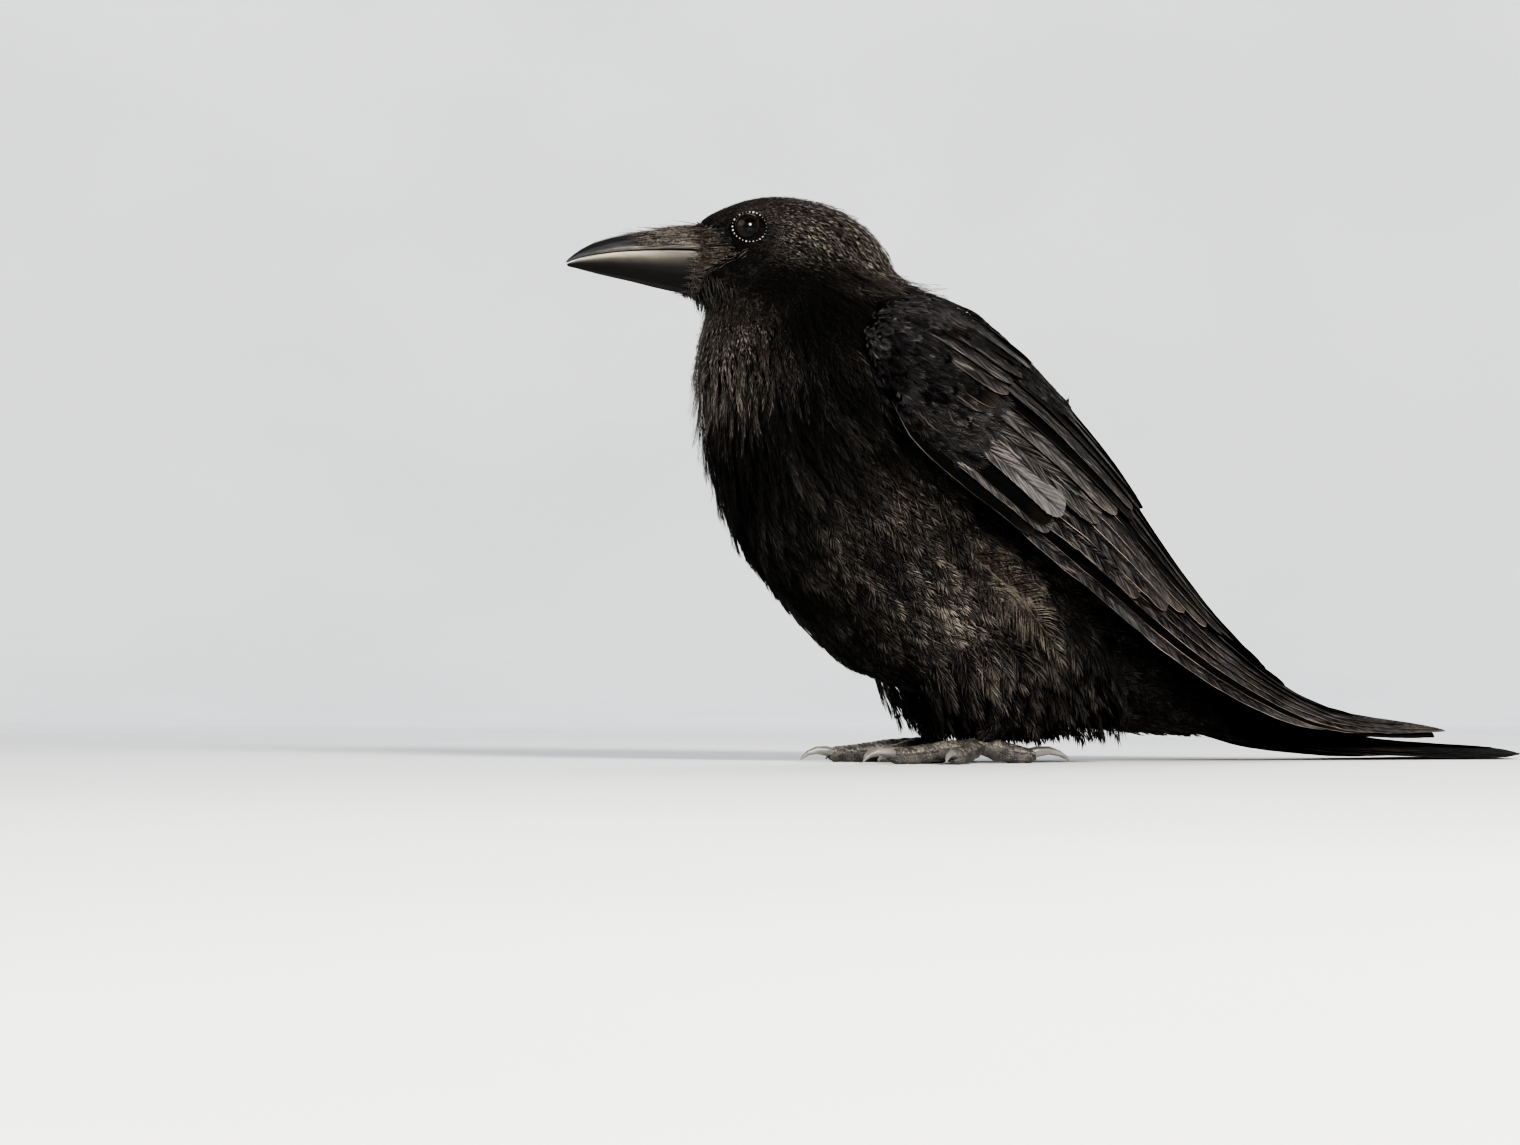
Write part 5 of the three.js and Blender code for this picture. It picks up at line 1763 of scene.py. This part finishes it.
def plumagePaint(name, groups, look):
    material, tree, shader = newMaterial(name)
    parts, paintedLight = toneParts(tree)
    place = objectPlace(tree)
    barbs = addNode(tree, "ShaderNodeGroup", {
        "Vane": addNode(tree, "ShaderNodeUVMap", uv_map="vane").outputs[0],
        "Chance": parts[0],
        "Fineness": look["fineness"],
        "Slant": look["slant"],
    }, node_tree=groups["barbs"]).outputs
    wear = addNode(tree, "ShaderNodeGroup", {
        "Edge": parts[1],
        "Along": parts[2],
        "Chance": parts[0],
        "Place": place,
        "Start": look["wearStart"],
        "Tip": look["tipWear"],
    }, node_tree=groups["wear"]).outputs[0]
    patch = spread(tree, noiseOn(tree, place, 75.0, 2.0), 0.40, 0.62)
    own = sumUp(tree, "MULTIPLY", sumUp(tree, "POWER", parts[0], 2.0), patch)
    colour = mixColours(tree, own, look["dark"], look["light"])
    velvetShade = spread(tree, paintedLight, 0.04, 0.40)
    # barb streaks, brighter where the painted-light amount is high: barb texture and painted glints
    barbsAndSheen = sumUp(tree, "MULTIPLY", barbs["Streak"], sumUp(tree, "MULTIPLY_ADD", paintedLight, 0.9, 0.12))
    streaks = sumUp(tree, "MULTIPLY", barbsAndSheen, look["streak"], clamp=True)
    colour = mixColours(tree, streaks, colour, look["barb"])
    if look["lines"]:
        colour = mixColours(tree, sumUp(tree, "MULTIPLY", barbs["Line"], look["lines"]), colour, look["barb"])
    # painted shade: near-black where the painted-light amount is low
    colour = mixColours(tree, velvetShade, (0.0012, 0.0011, 0.0012), colour)
    # painted sheen: feather tips take a brown-grey colour where the painted-light amount is high, mottled by
    # the barbs
    outer = sumUp(tree, "MULTIPLY", spread(tree, paintedLight, look["paintedLightFrom"], look["paintedLightTo"]),
                  spread(tree, parts[2], 0.30, 0.95))
    mottledSheen = sumUp(tree, "MULTIPLY", outer, spread(tree, barbs["Height"], 0.55, 1.15, look["paintedLightLow"], 1.0))
    colour = mixColours(tree, mottledSheen, colour, look["paintedLight"])
    colour = mixColours(tree, sumUp(tree, "MULTIPLY", wear, look["wear"], clamp=True), colour, look["worn"])
    shaft = spread(tree, parts[1], -0.6, -0.3, look["shaftShow"], 0.0)
    gloss = sumUp(tree, "MULTIPLY_ADD", velvetShade, 0.5, barbsAndSheen)
    glossy = sumUp(tree, "MULTIPLY_ADD", gloss, -0.24, look["roughness"])
    feed(tree, shader, {
        "Base Color": mixColours(tree, shaft, colour, look["shaft"]),
        "Roughness": sumUp(tree, "MULTIPLY_ADD", wear, 0.2, glossy),
        "Normal": bumpOf(tree, barbs["Height"], look["bump"], look["bumpDepth"]),
        "Specular IOR Level": look["specular"],
        "IOR": look["ior"],
    })
    return material


# in each look the barb colour is partly the barbs' own brown-grey and partly painted glints, and the
# brown-grey or grey colour that the tips take is a painted sheen
bodyLook = {
    "dark": (0.0017, 0.0016, 0.0018), "light": (0.0150, 0.0140, 0.0138), "barb": (0.098, 0.087, 0.077),
    "worn": (0.070, 0.057, 0.045), "wear": 0.40, "wearStart": 0.6, "tipWear": 0.5, "streak": 0.95,
    "roughness": 0.76, "fineness": 11.0, "slant": 3.0, "bump": 0.6, "bumpDepth": 0.20 * mm, "specular": 0.22,
    "paintedLight": (0.172, 0.153, 0.132), "paintedLightFrom": 0.45, "paintedLightTo": 2.4, "paintedLightLow": 0.25, "lines": 0.0,
    "shaft": (0.12, 0.10, 0.08), "shaftShow": 0.15, "ior": 1.32,
}
wingLook = {
    **bodyLook, "dark": (0.0042, 0.0042, 0.0049), "light": (0.0260, 0.0250, 0.0270), "fineness": 14.0,
    "slant": 2.8, "wear": 0.9, "wearStart": 0.86, "tipWear": 0.22, "worn": (0.12, 0.102, 0.082),
    "roughness": 0.74, "bump": 1.0, "bumpDepth": 0.5 * mm, "barb": (0.120, 0.112, 0.106),
    "paintedLight": (0.095, 0.091, 0.095), "paintedLightFrom": 0.9, "paintedLightTo": 1.9, "paintedLightLow": 0.7, "specular": 0.11,
    "lines": 0.95, "shaft": (0.0022, 0.0020, 0.0020), "shaftShow": 0.6,
}
flightLook = {
    **wingLook, "dark": (0.0034, 0.0034, 0.0040), "light": (0.0190, 0.0184, 0.0200), "wearStart": 0.90,
    "wear": 1.2, "worn": (0.24, 0.205, 0.17), "slant": 1.8, "roughness": 0.90,
    "barb": (0.080, 0.074, 0.070), "tipWear": 0.12, "specular": 0.12, "ior": 1.22,
}
shoulderLook = {
    **wingLook, "dark": (0.0085, 0.0085, 0.0098), "light": (0.0300, 0.0290, 0.0315), "streak": 0.42,
    "bump": 0.45, "slant": 3.2, "wearStart": 0.62, "wear": 0.55, "lines": 0.55,
    "paintedLight": (0.085, 0.082, 0.088),
}
looseLook = {
    **bodyLook, "light": (0.026, 0.021, 0.0165), "dark": (0.010, 0.0082, 0.0066), "paintedLightFrom": 0.2,
    "shaft": (0.20, 0.165, 0.12), "shaftShow": 1.0, "streak": 0.6,
}


def plainPaint(name, look):
    # two shades in fine grain, for skin, lids, beads and bristles
    material, tree, shader = newMaterial(name)
    grain = noiseOn(tree, objectPlace(tree), look["grain"], look["detail"])
    colour = mixColours(tree, spread(tree, grain, look["from"], look["to"]), look["dark"], look["light"])
    feed(tree, shader, {"Base Color": colour, "Roughness": look["roughness"]})
    if "bump" in look:
        feed(tree, shader, {"Specular IOR Level": look["specular"],
                            "Normal": bumpOf(tree, grain, look["bump"], look["bumpDepth"])})
    return material


underLook = {
    "grain": 900.0, "detail": 4.0, "from": 0.4, "to": 0.7, "dark": (0.002, 0.002, 0.0022),
    "light": (0.006, 0.0055, 0.005), "roughness": 0.85, "specular": 0.10, "bump": 0.6, "bumpDepth": 0.4 * mm,
}
lidLook = {
    "grain": 1800.0, "detail": 3.0, "from": 0.35, "to": 0.65, "dark": (0.0018, 0.0018, 0.002),
    "light": (0.005, 0.005, 0.005), "roughness": 0.75, "specular": 0.03, "bump": 0.5, "bumpDepth": 0.1 * mm,
}
beadLook = {**lidLook, "dark": (0.10, 0.10, 0.10), "light": (0.40, 0.39, 0.36), "specular": 0.5}
brownLook = {
    "grain": 1100.0, "detail": 2.0, "from": 0.35, "to": 0.68, "dark": (0.0035, 0.0030, 0.0027),
    "light": (0.100, 0.080, 0.060), "roughness": 0.42,
}
darkLook = {**brownLook, "dark": (0.002, 0.0018, 0.0017), "light": (0.012, 0.0100, 0.0085)}
paleLook = {**brownLook, "dark": (0.020, 0.018, 0.016), "light": (0.12, 0.105, 0.088)}


def hornPaint(name, look):
    # horn with fine lines that run towards its tip; along a bill's cutting edge a paler band is a painted
    # highlight
    material, tree, shader = newMaterial(name)
    place = objectPlace(tree)

    def drawnOut(scale, detail):
        return noiseOn(tree, addNode(tree, "ShaderNodeMapping", {"Vector": place, "Scale": scale}).outputs[0],
                       1.0, detail)

    lines = drawnOut((60.0, 700.0, 700.0), 4.0)
    cloud = drawnOut((45.0, 260.0, 260.0), 3.0)
    colour = mixColours(tree, spread(tree, cloud, 0.30, 0.75), look["dark"], look["light"])
    if "edge" in look:
        parts, _ = toneParts(tree)
        wavy = sumUp(tree, "MULTIPLY_ADD", cloud, 0.16, sumUp(tree, "SUBTRACT", parts[0], 0.08))
        # painted highlight: a wide pale band along the edge, and a paler rim on it, both weaker towards the
        # base
        for start, end, baseFrom, baseTo, baseShare, highlightColour in look["edge"]:
            highlightBand = sumUp(tree, "MULTIPLY", spread(tree, wavy, start, end, 1.0, 0.0),
                         spread(tree, parts[1], baseFrom, baseTo, 1.0, baseShare))
            colour = mixColours(tree, highlightBand, colour, highlightColour)
    scratches = sumUp(tree, "MULTIPLY", spread(tree, lines, 0.55, 0.72), 0.22)
    feed(tree, shader, {
        "Base Color": mixColours(tree, scratches, colour, tuple(2.2 * value for value in look["light"])),
        "Roughness": sumUp(tree, "MULTIPLY_ADD", lines, 0.16, look["roughness"]),
        "Specular IOR Level": look["specular"],
        "Normal": bumpOf(tree, lines, 0.28, 0.06 * mm),
    })
    return material


# the upper horn's light cloudy patches are partly a painted blue-grey sheen, and its edge bands are painted
# highlights
upperHornLook = {
    "dark": (0.0060, 0.0060, 0.0066), "light": (0.019, 0.0185, 0.0205), "roughness": 0.28, "specular": 0.5,
    "edge": (  # from and to across the bill, from and to along it, share left at the base, colour
        (0.04, 0.20, 0.35, 0.80, 0.45, (0.050, 0.046, 0.038)),
        (0.02, 0.13, 0.20, 0.70, 0.08, (0.16, 0.15, 0.125)),
    ),
}
# the lower horn's edge bands are a painted highlight, pale along the upper half and near-black below
lowerHornLook = {
    "dark": (0.0016, 0.0015, 0.0015), "light": (0.0036, 0.0033, 0.0030), "roughness": 0.30, "specular": 0.22,
    "edge": (
        (0.06, 0.50, 0.35, 0.80, 0.45, (0.092, 0.085, 0.070)),
        (0.02, 0.27, 0.20, 0.70, 0.08, (0.30, 0.28, 0.235)),
    ),
}
clawLook = {"dark": (0.050, 0.048, 0.046), "light": (0.16, 0.15, 0.14), "roughness": 0.30, "specular": 0.5}


def scalePaint(name, look):
    # scaly skin: small uneven cells with dark creases between them
    material, tree, shader = newMaterial(name)
    place = objectPlace(tree)
    cells = addNode(tree, "ShaderNodeTexVoronoi", {"Vector": place, "Scale": look["cells"]},
                    feature="DISTANCE_TO_EDGE").outputs["Distance"]
    cloud = noiseOn(tree, place, 260.0, 4.0)
    skin = mixColours(tree, spread(tree, cloud, 0.36, 0.66), look["dark"], look["light"])
    feed(tree, shader, {
        "Base Color": mixColours(tree, spread(tree, cells, 0.0, 0.10), look["crease"], skin),
        "Roughness": 0.5,
        "Normal": bumpOf(tree, spread(tree, cells, 0.0, 0.25), 0.6, 0.2 * mm),
    })
    return material


footLook = {"dark": (0.016, 0.015, 0.015), "light": (0.060, 0.054, 0.047), "crease": (0.008, 0.007, 0.006),
            "cells": 1300.0}
scuteLook = {"dark": (0.030, 0.028, 0.026), "light": (0.095, 0.086, 0.074), "crease": (0.020, 0.018, 0.016),
             "cells": 420.0}
eyeLook = {
    "iris": ((0.004, 0.0028, 0.0022), (0.014, 0.0092, 0.0065)), "pupil": (0.001, 0.001, 0.0012),
    "rim": (0.004, 0.004, 0.0045), "roughness": 0.20, "specular": 0.05, "coat": 0.32, "coatRoughness": 0.02,
}


def eyePaint(look):
    material, tree, shader = newMaterial("eye")
    parts, _ = toneParts(tree)
    turn = sumUp(tree, "MULTIPLY", parts[1], 6.2832)
    spokes = addNode(tree, "ShaderNodeCombineXYZ",
                     {0: sumUp(tree, "SINE", turn), 1: sumUp(tree, "COSINE", turn), 2: parts[0]}).outputs[0]
    colour = mixColours(tree, noiseOn(tree, spokes, 14.0, 3.0), *look["iris"])
    colour = mixColours(tree, spread(tree, parts[0], 0.26, 0.31), look["pupil"], colour)
    feed(tree, shader, {
        "Base Color": mixColours(tree, spread(tree, parts[0], 0.52, 0.60), colour, look["rim"]),
        "Roughness": look["roughness"],
        "Specular IOR Level": look["specular"],
        "Coat Weight": look["coat"],
        "Coat Roughness": look["coatRoughness"],
    })
    return material


placeCamera(cameraPlan)
placeLights(lightPlan, lightTarget)
placeWorld(skyPlan)
makeFloor(floorPlan)
print("crow: studio")

groups = {"barbs": barbGroup(), "wear": wearGroup()}
bodyPlumage = plumagePaint("body_plumage", groups, bodyLook)
wingPlumage = plumagePaint("wing_plumage", groups, wingLook)
flightPlumage = plumagePaint("flight_plumage", groups, flightLook)
underPlumage = plainPaint("under_plumage", underLook)
skinSurface = makeSkin(skinPlan, underPlumage)

wingSolid = cadCopy(*[name for name in nodes if name.startswith("wing_")], "tail")
wingCover = BVHTree.FromBMesh(wingSolid)
wingSolid.free()
makeCoat(skinSurface, walkSurface(skinPlan), wingCover, coatPlan, bodyPlumage)
makeTrousers(trouserPlan, bodyPlumage)
makeSkirt(skinSurface, skirtPlan, bodyPlumage)
makeStrayFeather(skinSurface, strayPlan, plumagePaint("loose_plumage", groups, looseLook))
shoulderPlumage = plumagePaint("shoulder_plumage", groups, shoulderLook)
makeWings(wingPlan, flightPlumage, wingPlumage, shoulderPlumage, underPlumage)
makeTail(tailPlan, flightPlumage)

upperSurface, lowerSurface = makeBill(billPlan, {
    "bill_upper": hornPaint("upper_horn", upperHornLook),
    "bill_lower": hornPaint("lower_horn", lowerHornLook),
})
bristlePaints = [plainPaint(name + "_bristle", look)
                 for name, look in (("brown", brownLook), ("dark", darkLook), ("pale", paleLook))]
makeBristles(bristlePlan, upperSurface, lowerSurface, skinSurface, *bristlePaints)
makeEyes(eyePlan, eyePaint(eyeLook), plainPaint("eyelid", lidLook), plainPaint("eye_bead", beadLook))
makeFeet(footPlan, scalePaint("foot_skin", footLook), scalePaint("foot_scutes", scuteLook),
         hornPaint("claw_horn", clawLook))

print("crow: done")
